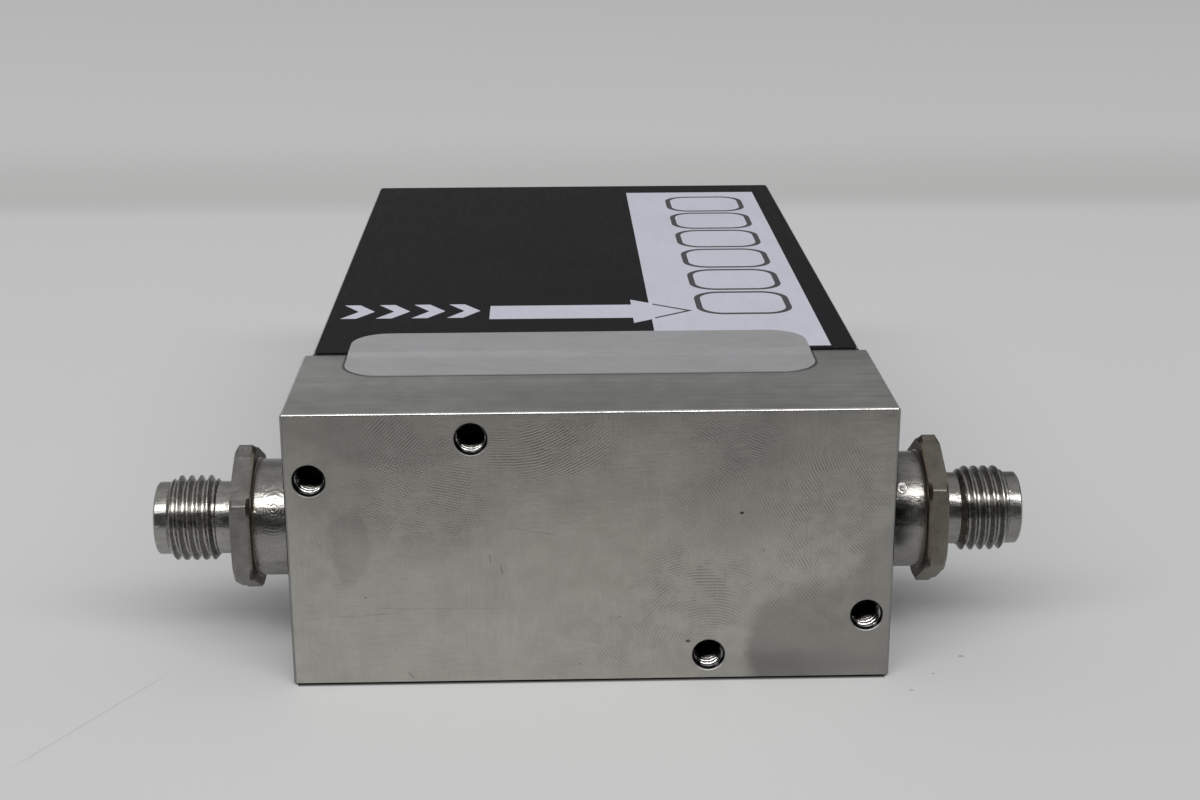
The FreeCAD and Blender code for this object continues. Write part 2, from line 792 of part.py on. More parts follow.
def make_chip(x, y):
    """Eight-legged package with bent legs that stand on the board."""
    body_low = board_top + chip_standoff
    body = box(x - chip_width / 2, x + chip_width / 2, y - chip_length / 2, y + chip_length / 2,
               body_low, body_low + chip_height)
    notch = rod(Vector(x, y - chip_length / 2, body_low + chip_height - chip_standoff), up, chip_standoff,
                chip_width / 8)
    chip = body.cut(notch)
    legs = []
    for side in (-1, 1):
        outer = side * (chip_width / 2 + chip_leg_reach)
        inner = side * chip_width / 2
        for number in range(4):
            middle = y + (number - 1.5) * chip_leg_pitch
            low = middle - chip_leg_width / 2
            high = middle + chip_leg_width / 2
            shoulder = body_low + chip_height / 2
            legs.append(box(x + min(inner, outer), x + max(inner, outer), low, high,
                            shoulder - chip_leg_width, shoulder))
            foot = sorted((outer, outer - side * chip_leg_width))
            legs.append(box(x + foot[0], x + foot[1], low, high, board_top, shoulder))
    return chip.fuse(legs).removeSplitter()


def make_chips():
    first = chip_side_margin - board_side
    return [make_chip(first + column * chip_spacing_x, along_room(place))
            for column in range(2) for place in chip_row_places]


def make_cans():
    """Electrolytic capacitors with a rolled neck and a domed top edge."""
    cans = []
    for place in can_places:
        foot = Vector(can_x, along_room(place), board_top)
        can = rod(foot, up, can_height, can_radius)
        can = can.makeFillet(can_neck_depth, edges_on(can, z=board_top + can_height)[:1])
        groove = Part.makeTorus(can_radius, can_neck_depth, foot + up * (can_height / 6), up)
        cans.append(can.cut(groove))
    return cans


def make_film_capacitors():
    blocks = []
    film_x = board_side - film_side_margin
    for place in film_places:
        middle = along_room(place)
        block = box(film_x - film_length / 2, film_x + film_length / 2, middle - film_width / 2,
                    middle + film_width / 2, board_top, board_top + film_height)
        blocks.append(block.makeFillet(film_width / 8, edges_on(block, z=board_top + film_height)))
    return blocks


def make_resistor(x, y):
    """Axial resistor with swollen ends on two bent leads."""
    height = board_top + resistor_lift + resistor_radius
    half = resistor_length / 2
    waist = resistor_radius * 0.85
    outline = [(-half, 0), (-half, resistor_radius), (-half / 2, resistor_radius), (-half / 2, waist),
               (half / 2, waist), (half / 2, resistor_radius), (half, resistor_radius), (half, 0)]
    points = [Vector(x + radius, y + along, height) for along, radius in outline]
    face = Part.Face(Part.makePolygon(points + [points[0]]))
    body = face.revolve(Vector(x, y, height), away, 360)
    reach = half + resistor_lead_reach
    lead = rod(Vector(x, y - reach, height), away, 2 * reach, resistor_lead_radius)
    legs = [rod(Vector(x, y + end * reach, board_top), up, height - board_top, resistor_lead_radius)
            for end in (-1, 1)]
    elbows = [Part.makeSphere(resistor_lead_radius, Vector(x, y + end * reach, height)) for end in (-1, 1)]
    return body.fuse([lead] + legs + elbows)


def make_resistors():
    first = -(resistor_count - 1) / 2 * resistor_spacing
    return [make_resistor(first + number * resistor_spacing, along_room(resistor_row_place))
            for number in range(resistor_count)]


def make_regulator():
    """Three-legged regulator standing on the board, its metal tab uppermost."""
    x = regulator_x
    y = along_room(regulator_place)
    body_low = board_top + regulator_leg_height
    body_high = body_low + regulator_body_height
    half = regulator_width / 2
    body = box(x - half, x + half, y, y + regulator_body_depth, body_low, body_high)
    tab = box(x - half, x + half, y, y + regulator_tab_thickness, body_low, body_high + regulator_tab_height)
    hole = rod(Vector(x, y, body_high + regulator_tab_height / 2), away, regulator_tab_thickness,
               regulator_hole_radius)
    middle = y + regulator_body_depth / 2
    legs = [box(x + place * regulator_leg_pitch - regulator_leg / 2,
                x + place * regulator_leg_pitch + regulator_leg / 2,
                middle - regulator_leg / 2, middle + regulator_leg / 2, board_top, body_low)
            for place in (-1, 0, 1)]
    return body.fuse([tab] + legs).cut(hole).removeSplitter()


def d_prism(width, height, near, far, radius):
    """D-shaped bar along +Y, its long side up."""
    low_half = width / 2 - height * math.tan(math.radians(shell_slant))
    low = connector_z - height / 2
    high = connector_z + height / 2
    points = [Vector(-width / 2, near, high), Vector(width / 2, near, high),
              Vector(low_half, near, low), Vector(-low_half, near, low)]
    bar = prism(points, Vector(0, far - near, 0))
    long_edges = [edge for edge in bar.Edges if abs(edge.BoundBox.YLength - (far - near)) < 1e-6]
    return bar.makeFillet(radius, long_edges)


def make_connector_shell():
    """Plated flange and the D-shaped shell drawn out of it."""
    back = case_end_inner - flange_thickness
    flange = box(-flange_half_width, flange_half_width, back, case_end_inner,
                 connector_z - flange_height / 2, connector_z + flange_height / 2)
    corner_edges = [edge for edge in flange.Edges if abs(edge.BoundBox.YLength - flange_thickness) < 1e-6]
    flange = flange.makeFillet(flange_corner_radius, corner_edges)
    shell = d_prism(shell_width, shell_height, back, case_end_inner + shell_depth, shell_corner_radius)
    hollow = d_prism(shell_width - 2 * shell_wall, shell_height - 2 * shell_wall, back,
                     case_end_inner + shell_depth, shell_corner_radius - shell_wall)
    holes = [rod(Vector(side * jack_x, back, connector_z), away, flange_thickness,
                 jack_shank_radius + seat_gap) for side in (-1, 1)]
    return flange.fuse(shell).cut([hollow] + holes).removeSplitter()


def make_connector_insulator():
    """Moulded body: a block on the board and a D-shaped front inside the shell."""
    back = case_end_inner - flange_thickness
    block = box(-insulator_width / 2, insulator_width / 2, insulator_back, back,
                board_top, connector_z + flange_height / 2)
    inset = shell_wall + fit_gap
    front = d_prism(shell_width - 2 * inset, shell_height - 2 * inset, back, case_end_inner + insulator_front,
                    shell_corner_radius - inset)
    holes = [rod(Vector(x, insulator_back, height), away, case_end_inner + insulator_front - insulator_back,
                 pin_radius + fit_gap) for x, height, tail in pin_places()]
    return block.fuse(front).cut(holes)


def make_connector_pins():
    """Contact pins that run back through the body and turn down into the board."""
    pins = []
    foot = board_bottom - pin_tail_below
    for x, height, tail in pin_places():
        length = case_end_inner + pin_reach - tail
        pin = rod(Vector(x, tail, height), away, length, pin_radius)
        tip = edges_on(pin, y=case_end_inner + pin_reach)[:1]
        pin = pin.makeFillet(pin_radius * 0.6, tip)
        elbow = Part.makeSphere(pin_radius, Vector(x, tail, height))
        leg = rod(Vector(x, tail, foot), up, height - foot, pin_radius)
        pins.append(pin.fuse([elbow, leg]))
    return pins


def make_jack_posts():
    """Hexagonal posts that clamp the connector and take the plug's screws."""
    posts = []
    shank = case_wall + flange_thickness + jack_nut_thickness
    for side in (-1, 1):
        foot = Vector(side * jack_x, case_end, connector_z)
        post = placed(hexagon(jack_across_flats, jack_length), foot, away)
        post = post.fuse(rod(foot - away * shank, away, shank, jack_shank_radius))
        tap = blind_hole(foot + away * jack_length, away * -1, jack_tap_radius, jack_tap_depth)
        posts.append(post.cut(tap))
    return posts


def make_jack_nuts():
    nuts = []
    for side in (-1, 1):
        back = case_end_inner - flange_thickness - jack_nut_thickness
        place = Vector(side * jack_x, back, connector_z)
        nut = hexagon(jack_nut_across_flats, jack_nut_thickness, jack_shank_radius + fit_gap)
        nuts.append(placed(nut, place, away))
    return nuts


def make_trimmer_body():
    """Square body on the board with a round pocket for the rotor."""
    half = trimmer_size / 2
    body = box(trimmer_x - half, trimmer_x + half, trimmer_face - trimmer_depth, trimmer_face,
               board_top, board_top + trimmer_size)
    pocket = rod(Vector(trimmer_x, trimmer_face - rotor_depth, trimmer_z), away, rotor_depth,
                 rotor_radius + fit_gap)
    return body.cut(pocket)


def make_trimmer_rotor():
    """Round rotor with a screwdriver slot, half way through its travel."""
    start = Vector(trimmer_x, trimmer_face - rotor_depth, trimmer_z)
    rotor = rod(start, away, rotor_depth, rotor_radius)
    slot = box(trimmer_x - rotor_radius, trimmer_x + rotor_radius,
               trimmer_face - rotor_slot_depth, trimmer_face,
               trimmer_z - rotor_slot_width / 2, trimmer_z + rotor_slot_width / 2)
    slot.rotate(start, away, rotor_slot_turn)
    return rotor.cut(slot)


def make_case():
    """Thin five-sided case, open where it seats on the block."""
    outer = box(-case_side, case_side, case_face, case_end, 0, block_thickness)
    bends = [edge for edge in outer.Edges if edge.BoundBox.YMax > case_face + case_wall]
    outer = outer.makeFillet(case_edge_radius, bends)
    inner = box(-case_side + case_wall, case_side - case_wall, case_face, case_end_inner,
                case_wall, block_thickness - case_wall)
    cutout = d_prism(shell_width + 2 * passage_gap, shell_height + 2 * passage_gap, case_end_inner, case_end,
                     shell_corner_radius + passage_gap)
    cuts = [inner, cutout]
    cuts.append(rod(Vector(trimmer_x, case_end_inner, trimmer_z), away, case_wall, adjust_hole_radius))
    for side in (-1, 1):
        post = Vector(side * jack_x, case_end_inner, connector_z)
        cuts.append(rod(post, away, case_wall, jack_shank_radius + seat_gap))
        hole = Vector(side * (case_side - case_wall), case_face + case_screw_offset, flow_z)
        cuts.append(rod(hole, flow_direction * side, case_wall, screw_radius + seat_gap))
    return outer.cut(cuts)


def make_case_screws():
    return [screw(Vector(side * case_side, case_face + case_screw_offset, flow_z),
                  flow_direction * -side, case_screw_length) for side in (-1, 1)]


def arrow_outline(inset=0.0):
    """Points of the arrow head, drawn in from its edges by inset."""
    middle = case_face + arrow_offset
    half = arrow_head_width / 2
    length = arrow_tip - arrow_neck
    slope = math.hypot(length, half)
    half -= inset * (slope + half) / length
    tip = arrow_tip - inset * slope / half if inset else arrow_tip
    neck = arrow_neck + inset
    return [Vector(neck, middle - half, block_thickness), Vector(tip, middle, block_thickness),
            Vector(neck, middle + half, block_thickness)]


def white_shapes():
    """White field with the flow arrow running onto it, and the chevrons behind the arrow."""
    rise = Vector(0, 0, label_thickness)
    near = case_face + white_near
    field = box(white_left, white_right, near, white_far, block_thickness, label_top)
    middle = case_face + arrow_offset
    shaft = box(arrow_tail, arrow_neck, middle - arrow_shaft_width / 2, middle + arrow_shaft_width / 2,
                block_thickness, label_top)
    shapes = [field.fuse([shaft, prism(arrow_outline(), rise)]).removeSplitter()]
    half = chevron_height / 2
    centre = case_face + chevron_offset
    for number in range(chevron_count):
        left = chevron_first + number * chevron_pitch
        outline = [(left, -half), (left + chevron_stroke, -half), (left + chevron_stroke + chevron_reach, 0),
                   (left + chevron_stroke, half), (left, half), (left + chevron_reach, 0)]
        shapes.append(prism([Vector(x, centre + y, block_thickness) for x, y in outline], rise))
    return shapes


def grey_shapes():
    """Row of outlined cells and the thin outline of the arrow's tip, let into the white field."""
    low = label_top - grey_depth
    shapes = []
    for number in range(cell_count):
        near = cell_near + number * cell_pitch
        far = near + cell_length
        outer = slab(cell_left, cell_right, near, far, low, label_top, cell_corner_radius)
        inner = slab(cell_left + grey_line, cell_right - grey_line, near + grey_line, far - grey_line,
                     low, label_top, cell_corner_radius - grey_line)
        shapes.append(outer.cut(inner))
    rise = Vector(0, 0, label_thickness)
    tip = prism(arrow_outline(), rise).cut(prism(arrow_outline(tip_line), rise))
    keep = box(white_left + tip_line, white_right, case_face, case_end, low, label_top)
    shapes.append(tip.common(keep))
    return shapes


def make_face_label():
    sheet = slab(-label_side, label_side, case_face + label_near_margin, case_end - label_side_margin,
                 block_thickness, label_top, label_corner_radius)
    return sheet.cut(white_shapes())


def make_white_print():
    shapes = white_shapes()
    return [shapes[0].cut(grey_shapes())] + shapes[1:]


def make_seal_sticker():
    """Thin sticker that lies on the block and steps up onto the label."""
    near = case_face - seal_near
    far = near + seal_width
    step = case_face + label_near_margin
    low = block_thickness
    profile = [(near, low), (step - seal_ramp, low), (step, label_top), (far, label_top),
               (far, label_top + seal_thickness), (step, label_top + seal_thickness),
               (step - seal_ramp, low + seal_thickness), (near, low + seal_thickness)]
    left = seal_left_margin - case_side
    right = case_side - seal_right_margin
    strip = prism([Vector(left, y, z) for y, z in profile], flow_direction * (right - left))
    outline = slab(left, right, near, far, low, label_top + 2 * seal_thickness, seal_corner_radius)
    return strip.common(outline)


pieces = {
    "base_block": [make_base_block()],
    "inlet_fitting": [make_fitting(-1, inlet_hex_turn, True)],
    "outlet_fitting": [make_fitting(1, outlet_hex_turn, False)],
    "inlet_seal_ring": [make_fitting_ring(-1)],
    "outlet_seal_ring": [make_fitting_ring(1)],
    "inlet_screen": [make_inlet_screen()],
    "bypass_element": [make_bypass_element()],
    "element_retaining_ring": [make_retaining_ring()],
    "sensor_base": [make_sensor_base()],
    "sensor_port_rings": make_port_rings(),
    "sensor_screws": [screw(Vector(side * sensor_screw_x, sensor_base_top, flow_z), away * -1,
                            sensor_base_height + sensor_screw_bite - passage_gap) for side in (-1, 1)],
    "sensor_tube": [make_sensor_tube()],
    "upstream_winding": [make_winding(-1)],
    "downstream_winding": [make_winding(1)],
    "sensor_cover": [make_sensor_cover()],
    "sensor_leads": make_sensor_leads(),
    "sensor_header": [make_sensor_header()],
    "board_bracket": [make_board_bracket()],
    "bracket_screws": [screw(place + away * bracket_sheet, away * -1,
                             bracket_sheet + bracket_screw_bite - passage_gap)
                       for place in bracket_screw_places()],
    "board_standoffs": make_standoffs(),
    "main_board": [make_main_board()],
    "board_screws": make_board_screws(),
    "amplifier_chips": make_chips(),
    "electrolytic_capacitors": make_cans(),
    "film_capacitors": make_film_capacitors(),
    "resistors": make_resistors(),
    "voltage_regulator": [make_regulator()],
    "connector_shell": [make_connector_shell()],
    "connector_insulator": [make_connector_insulator()],
    "connector_pins": make_connector_pins(),
    "jack_posts": make_jack_posts(),
    "jack_nuts": make_jack_nuts(),
    "zero_trimmer_body": [make_trimmer_body()],
    "zero_adjust_rotor": [make_trimmer_rotor()],
    "case": [make_case()],
    "case_screws": make_case_screws(),
    "face_label": [make_face_label()],
    "label_white_print": make_white_print(),
    "label_grey_print": grey_shapes(),
    "seal_sticker": [make_seal_sticker()],
}

os.makedirs("parts", exist_ok=True)
for name, shapes in pieces.items():
    solids = [solid for shape in shapes for solid in shape.Solids]
    whole = solids[0] if len(solids) == 1 else Part.makeCompound(solids)
    whole.exportStep(f"parts/{name}.step")
    print(name, len(solids), "solids, valid", all(solid.isValid() for solid in solids))
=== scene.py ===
import math
from functools import partialmethod

import bmesh
import bpy
from mathutils import Euler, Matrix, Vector


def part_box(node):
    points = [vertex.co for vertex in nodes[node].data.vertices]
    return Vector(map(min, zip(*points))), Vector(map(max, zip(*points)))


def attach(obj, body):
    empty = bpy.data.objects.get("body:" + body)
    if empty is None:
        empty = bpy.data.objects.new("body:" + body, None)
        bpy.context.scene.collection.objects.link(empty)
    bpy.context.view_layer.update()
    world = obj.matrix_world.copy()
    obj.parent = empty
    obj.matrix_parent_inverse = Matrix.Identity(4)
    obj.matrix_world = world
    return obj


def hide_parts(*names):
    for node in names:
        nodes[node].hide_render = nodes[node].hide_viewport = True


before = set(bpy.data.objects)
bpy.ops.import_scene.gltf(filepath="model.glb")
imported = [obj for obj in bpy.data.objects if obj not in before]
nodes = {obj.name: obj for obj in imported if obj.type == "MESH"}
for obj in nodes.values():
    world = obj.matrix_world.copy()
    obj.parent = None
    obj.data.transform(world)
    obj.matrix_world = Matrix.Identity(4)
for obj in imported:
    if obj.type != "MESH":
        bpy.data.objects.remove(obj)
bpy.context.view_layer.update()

# Lengths below are in millimetres unless a name says otherwise.
MM = 0.001
TURN = 2 * math.pi


# Sizes read from the frame.
def low(node):
    return [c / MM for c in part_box(node)[0]]


def high(node):
    return [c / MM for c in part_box(node)[1]]


side_face = high("base_block")[0]
mount_face = low("base_block")[1]
joint_face = high("base_block")[1]
block_top = high("base_block")[2]
flow_z = block_top / 2
nose_end = high("outlet_fitting")[0]
fitting_inner_end = low("outlet_fitting")[0]

# The fittings' own sizes. What isn't read from the frame is written once here.
neck_radius = 7.6
neck_length = 5.0
neck_fillet = 0.25
hex_across_flats = 17.46
hex_thickness = 2.6
hex_corner_cut = 0.45
hex_chamfer_angle = 30.0
hex_corner_round = 0.05
hex_turns = {"inlet_fitting": 28.4, "outlet_fitting": 34.0}
relief_radius = 4.725
relief_length = 2.5
relief_fillet = 0.15
thread_radius = 5.555
thread_root_radius = 4.87
thread_pitch = 1.27
nose_radius = 4.72
nose_length = 1.65
nose_edge = 0.2
tube_bore_radius = 3.225
tube_bore_depth = 15.2
tube_mouth_radius = 4.0
tube_mouth_half_angle = 12.0
through_bore_radius = 2.4
port_thread_radius = 6.3
port_groove_radius = 5.4
port_groove_length = 2.0
port_lead = 0.6
screen_seat_radius = 4.5
screen_seat_depth = 0.8

hex_inner = side_face + neck_length
hex_outer = hex_inner + hex_thickness
thread_start = hex_outer + relief_length
thread_end = nose_end - nose_length

# The tapped mounting holes.
hole_radius = 2.083
hole_thread_depth = 6.8
hole_thread_pitch = 0.794
hole_minor_radius = 1.73
hole_wall_gap = 0.01
hole_wall_embed = 0.03
hole_run_in = 1.1
hole_thread_start = 0.2
hole_from_side = 3.175
wide_hole = (side_face - hole_from_side, 9.525)
narrow_hole = (14.85, 14.75)
hole_places = []
for pair, (aside, up) in (("wide", wide_hole), ("narrow", narrow_hole)):
    hole_places.append((pair + "_left", -aside, flow_z + up))
    hole_places.append((pair + "_right", aside, flow_z - up))


# The camera stands at the photograph's own place, found from the block's corners and holes.
camera_place = (-5.008, -230.772, 108.650)
camera_yaw = -0.0277999
camera_pitch = 0.3136203
camera_roll = -0.0027448
camera_lens = 56.387
camera_sensor = 36.0
camera_clip = (0.01, 50.0)


def make_camera():
    data = bpy.data.cameras.new("camera")
    data.lens = camera_lens
    data.sensor_width = camera_sensor
    data.clip_start, data.clip_end = camera_clip
    camera = bpy.data.objects.new("camera", data)
    camera.location = Vector(camera_place) * MM
    turn = Euler((0, 0, camera_yaw)).to_matrix()
    tilt = Euler((math.pi / 2 - camera_pitch, 0, 0)).to_matrix()
    roll = Euler((0, 0, camera_roll)).to_matrix()
    camera.rotation_mode = "QUATERNION"
    camera.rotation_quaternion = (turn @ tilt @ roll).to_quaternion()
    bpy.context.collection.objects.link(camera)
    bpy.context.scene.camera = camera


# Node building.
class Tree:
    """A material's or the world's nodes, with short calls for the ones used here."""

    def __init__(self, owner):
        self.owner = owner
        owner.use_nodes = True
        self.nodes = owner.node_tree.nodes
        self.links = owner.node_tree.links
        self.nodes.clear()

    def put(self, socket, value):
        if isinstance(value, bpy.types.NodeSocket):
            self.links.new(value, socket)
        elif socket.type == "RGBA" and len(value) == 3:
            socket.default_value = (*value, 1.0)
        else:
            socket.default_value = value

    def node(self, kind, *values, **settings):
        """A node with its settings, its first inputs filled in their order."""
        made = self.nodes.new(kind)
        for name, value in settings.items():
            setattr(made, name, value)
        for socket, value in zip(made.inputs, values):
            self.put(socket, value)
        return made

    def fill(self, made, **sockets):
        """The node, with inputs given by name, _ standing for a space."""
        for name, value in sockets.items():
            self.put(made.inputs[name.replace("_", " ")], value)
        return made

    def math(self, operation, *values):
        return self.node("ShaderNodeMath", *values, operation=operation).outputs[0]

    add = partialmethod(math, "ADD")
    minus = partialmethod(math, "SUBTRACT")
    times = partialmethod(math, "MULTIPLY")
    absolute = partialmethod(math, "ABSOLUTE")
    larger = partialmethod(math, "MAXIMUM")
    smaller = partialmethod(math, "MINIMUM")
    above = partialmethod(math, "GREATER_THAN")
    below = partialmethod(math, "LESS_THAN")
    sign = partialmethod(math, "SIGN")
    sine = partialmethod(math, "SINE")

    def product(self, first, *others):
        for other in others:
            first = self.times(first, other)
        return first

    def weighted(self, first, *others):
        """The sum of values, each given with its weight."""
        total = self.times(*first)
        for other in others:
            total = self.add(total, self.times(*other))
        return total

    def spread(self, value, from_low, from_high, to_low=0.0, to_high=1.0, smooth=True):
        ends = (from_low, from_high, to_low, to_high)
        kind = "SMOOTHSTEP" if smooth else "LINEAR"
        return self.node("ShaderNodeMapRange", value, *ends, interpolation_type=kind).outputs[0]

    def between(self, kind, share, first_input, a, b):
        made = self.node("ShaderNodeMix", share, data_type=kind)
        self.put(made.inputs[first_input], a)
        self.put(made.inputs[first_input + 1], b)
        return made.outputs

    def mix(self, share, a, b):
        """From colour a to colour b."""
        return self.between("RGBA", share, 6, a, b)[2]

    def over(self, colour, coat, *shares):
        """colour with a coat over it, as far as the shares' product says."""
        return self.mix(self.product(*shares), colour, coat)

    def blend(self, share, a, b):
        """From number a to number b."""
        return self.between("FLOAT", share, 2, a, b)[0]

    def vector_math(self, operation, *values):
        return self.node("ShaderNodeVectorMath", *values, operation=operation).outputs

    def scaled(self, vector, factors):
        return self.vector_math("MULTIPLY", vector, factors)[0]

    def moved(self, vector, offset):
        return self.vector_math("SUBTRACT", vector, offset)[0]

    def length(self, vector):
        return self.vector_math("LENGTH", vector)["Value"]

    def parts(self, vector):
        return self.node("ShaderNodeSeparateXYZ", vector).outputs

    def joined(self, x, y, z):
        return self.node("ShaderNodeCombineXYZ", x, y, z).outputs[0]

    def shifted(self, vector, amount):
        """vector with amount added along its first axis and taken from its second."""
        x, y, _ = self.parts(vector)
        return self.joined(self.add(x, amount), self.minus(y, amount), 0.0)

    def place(self):
        """The point on the piece, in millimetres of the CAD frame."""
        return self.scaled(self.node("ShaderNodeTexCoord").outputs["Object"], (1 / MM, 1 / MM, 1 / MM))

    def normal(self):
        return self.node("ShaderNodeTexCoord").outputs["Normal"]

    def noise(self, vector, scale, detail=3.0, roughness=0.55):
        """Noise spread over the whole of 0 to 1."""
        made = self.node("ShaderNodeTexNoise")
        self.fill(made, Vector=vector, Scale=scale, Detail=detail, Roughness=roughness)
        return self.spread(made.outputs["Fac"], 0.3, 0.7, smooth=False)

    def cells(self, vector, scale, feature="F1"):
        made = self.node("ShaderNodeTexVoronoi", feature=feature)
        return self.fill(made, Vector=vector, Scale=scale).outputs["Distance"]

    def bump(self, height, distance, strength=1.0, normal=None):
        made = self.node("ShaderNodeBump")
        self.fill(made, Height=height, Distance=distance * MM, Strength=strength)
        if normal is not None:
            self.put(made.inputs["Normal"], normal)
        return made.outputs[0]

    def surface(self, shader, output="ShaderNodeOutputMaterial"):
        self.links.new(shader.outputs[0], self.node(output).inputs["Surface"])
        return self.owner

    def finish(self, colour, rough, normal, **others):
        """The material, with its surface shader's other inputs given by name."""
        shader = self.node("ShaderNodeBsdfPrincipled")
        return self.surface(self.fill(shader, Base_Color=colour, Roughness=rough, Normal=normal, **others))


def new_material(name):
    """The node tree of a new material, and the point on the piece."""
    tree = Tree(bpy.data.materials.new(name))
    return tree, tree.place()


def grey(value, warm=0.0):
    """A grey colour, a little warmer or cooler."""
    return (value * (1 + warm / 2), value, value * (1 - 1.5 * warm))


def lighter(base, factor, lift=0.0):
    return tuple(min(1.0, c * factor + lift) for c in base)


def varied(tree, amount, base, tint=0.0):
    """base, made darker and lighter by amount, a value from 0 to 1."""
    return tree.mix(amount, lighter(base, 1 - tint), lighter(base, 1 + tint))


# Masks by the side that a surface faces.
def facing(tree, axis, sign, sharp=0.96):
    """1 where the surface faces along an axis, in the direction of sign."""
    part = tree.parts(tree.normal())[axis]
    return tree.above(tree.times(part, sign), sharp)


def on_edge(tree, sharp=0.95):
    """1 on a chamfer or rounded edge, 0 on the six flat sides."""
    x, y, z = [tree.absolute(part) for part in tree.parts(tree.normal())]
    return tree.below(tree.larger(tree.larger(x, y), z), sharp)


# Marks on the block's tapped face, as places (x, z) on it.
face_arcs = (
    # centre, where they show, how far they show, spacing, strength
    ((-10.0, 20.0), (-23.5, 32.5), (9.0, 4.5), 0.37, 0.9),
    ((-11.5, 48.0), (-5.0, 31.5), (8.0, 3.5), 0.36, 1.0),
    ((32.0, 60.0), (17.0, 31.5), (6.5, 4.0), 0.35, 0.6),
    ((2.0, 16.0), (16.0, 22.0), (9.0, 8.5), 0.38, 0.5),
    ((14.8, 3.5), (11.5, 10.5), (11.0, 7.5), 0.40, 1.0),
    ((50.0, 30.0), (28.5, 12.5), (9.0, 8.0), 0.37, 1.0),
    ((-25.0, 21.0), (-33.5, 20.0), (3.0, 9.0), 0.34, 0.8),
    ((-50.0, 10.0), (-21.0, 24.0), (9.0, 7.0), 0.36, 0.8),
    ((-10.0, 60.0), (-22.0, 25.0), (9.0, 6.0), 0.34, 0.8),
    ((-12.0, -8.0), (4.0, 6.0), (9.0, 5.5), 0.38, 0.9),
    ((60.0, 45.0), (30.0, 24.0), (8.0, 9.0), 0.36, 0.9),
    ((-48.0, 60.0), (-30.0, 8.0), (7.0, 7.0), 0.36, 0.35),
    ((10.0, -40.0), (-12.0, 12.0), (12.0, 8.0), 0.36, 0.35),
)
face_specks = (
    # place, radius, depth of colour
    ((18.74, 22.87), 0.24, 0.95),
    ((12.2, 5.46), 0.3, 0.75),
    ((-28.5, 12.1), 0.14, 0.5),
    ((-25.0, 4.9), 0.12, 0.4),
    ((3.5, 9.0), 0.12, 0.5),
    ((-1.6, 2.5), 0.14, 0.6),
    ((21.6, 17.8), 0.16, 0.4),
)
face_scratches = (
    # from, to, half width, depth of colour
    ((-11.1, 21.4), (-4.0, 20.2), 0.10, 0.30),
    ((-37.0, 9.2), (-24.0, 9.9), 0.12, 0.16),
    ((-28.0, 10.6), (-9.0, 10.3), 0.12, 0.16),
    ((-12.9, 17.9), (-12.7, 16.5), 0.12, 0.35),
    ((-11.6, 16.8), (-11.2, 14.9), 0.12, 0.40),
    ((-10.9, 16.5), (-10.6, 15.2), 0.10, 0.40),
    ((-23.6, 1.7), (-22.7, 0.8), 0.14, 0.40),
    ((12.2, 17.7), (12.0, 16.0), 0.15, 0.40),
    ((-35.5, 5.0), (-34.6, 3.9), 0.12, 0.30),
)
face_patches = (
    # centre, half sizes, how much darker, how soft
    ((-30.2, 18.6), (2.6, 5.0), 0.20, 0.14),
    ((-31.5, 27.0), (5.0, 6.0), 0.12, 0.35),
    ((19.5, 31.9), (6.5, 3.2), 0.24, 0.35),
    ((-24.0, 33.0), (10.0, 3.4), 0.24, 0.30),
    ((-21.0, 24.0), (9.5, 6.5), 0.15, 0.30),
    ((-6.0, 32.0), (8.0, 3.2), 0.09, 0.35),
    ((18.0, 25.0), (7.0, 6.0), 0.12, 0.35),
    ((10.0, 8.0), (9.0, 6.0), 0.08, 0.5),
    ((12.0, 2.0), (30.0, 1.6), 0.10, 0.5),
    ((21.0, 1.0), (7.0, 3.2), 0.18, 0.6),
)
face_corner_patches = (
    ((30.0, 4.0), (10.5, 9.5)),
    ((40.0, 11.5), (7.6, 10.0)),
)
# The corner patches' border is toothed by rings: centre, spacing, how far they shift it.
patch_teeth = ((-20.0, 40.0), 0.42, 0.28)
top_patches = (
    # the same, as places (x, y) on the top side
    ((-24.0, -4.5), (11.0, 3.2), 0.20, 0.5),
    ((30.0, -3.0), (12.0, 4.5), 0.16, 0.5),
    ((4.0, -8.0), (20.0, 2.5), 0.10, 0.6),
)
face_stain = ((2.0, 20.0), (13.0, 9.0), 0.7)
chamfer = 0.35
chamfer_bend = 1.6
seal_corner_radius = 5.0


def from_block_sides(tree, place):
    """How deep a point lies under the block's sides, for each axis."""
    middle = (0.0, 0.0, flow_z)
    reach = (side_face, -mount_face, flow_z)
    found = []
    for part, centre, half in zip(tree.parts(place), middle, reach):
        found.append(tree.minus(half, tree.absolute(tree.minus(part, centre))))
    return found


def rounded_chamfers(tree, from_sides):
    """A height that turns the block's flat chamfers into rounds, the same on all twelve edges."""
    total = 0.0
    for from_side in from_sides:
        held = tree.smaller(from_side, chamfer)
        total = tree.add(total, tree.times(held, held))
    return tree.times(total, -chamfer_bend)


def on_block_edge(tree, from_sides):
    """1 on the block's outer chamfers, not on the holes' mouths."""
    a, b, c = from_sides
    second = tree.larger(tree.smaller(a, b), tree.smaller(tree.larger(a, b), c))
    return tree.times(on_edge(tree), tree.below(second, chamfer * 1.04))


def painted_hole_shade(tree, from_sides):
    """1 inside the block's holes, a little below their mouths, where shade is painted."""
    inside = [tree.above(depth, 0.5) for depth in (from_sides[0], from_sides[2])]
    return tree.product(tree.spread(from_sides[1], 0.16, 0.34), *inside)


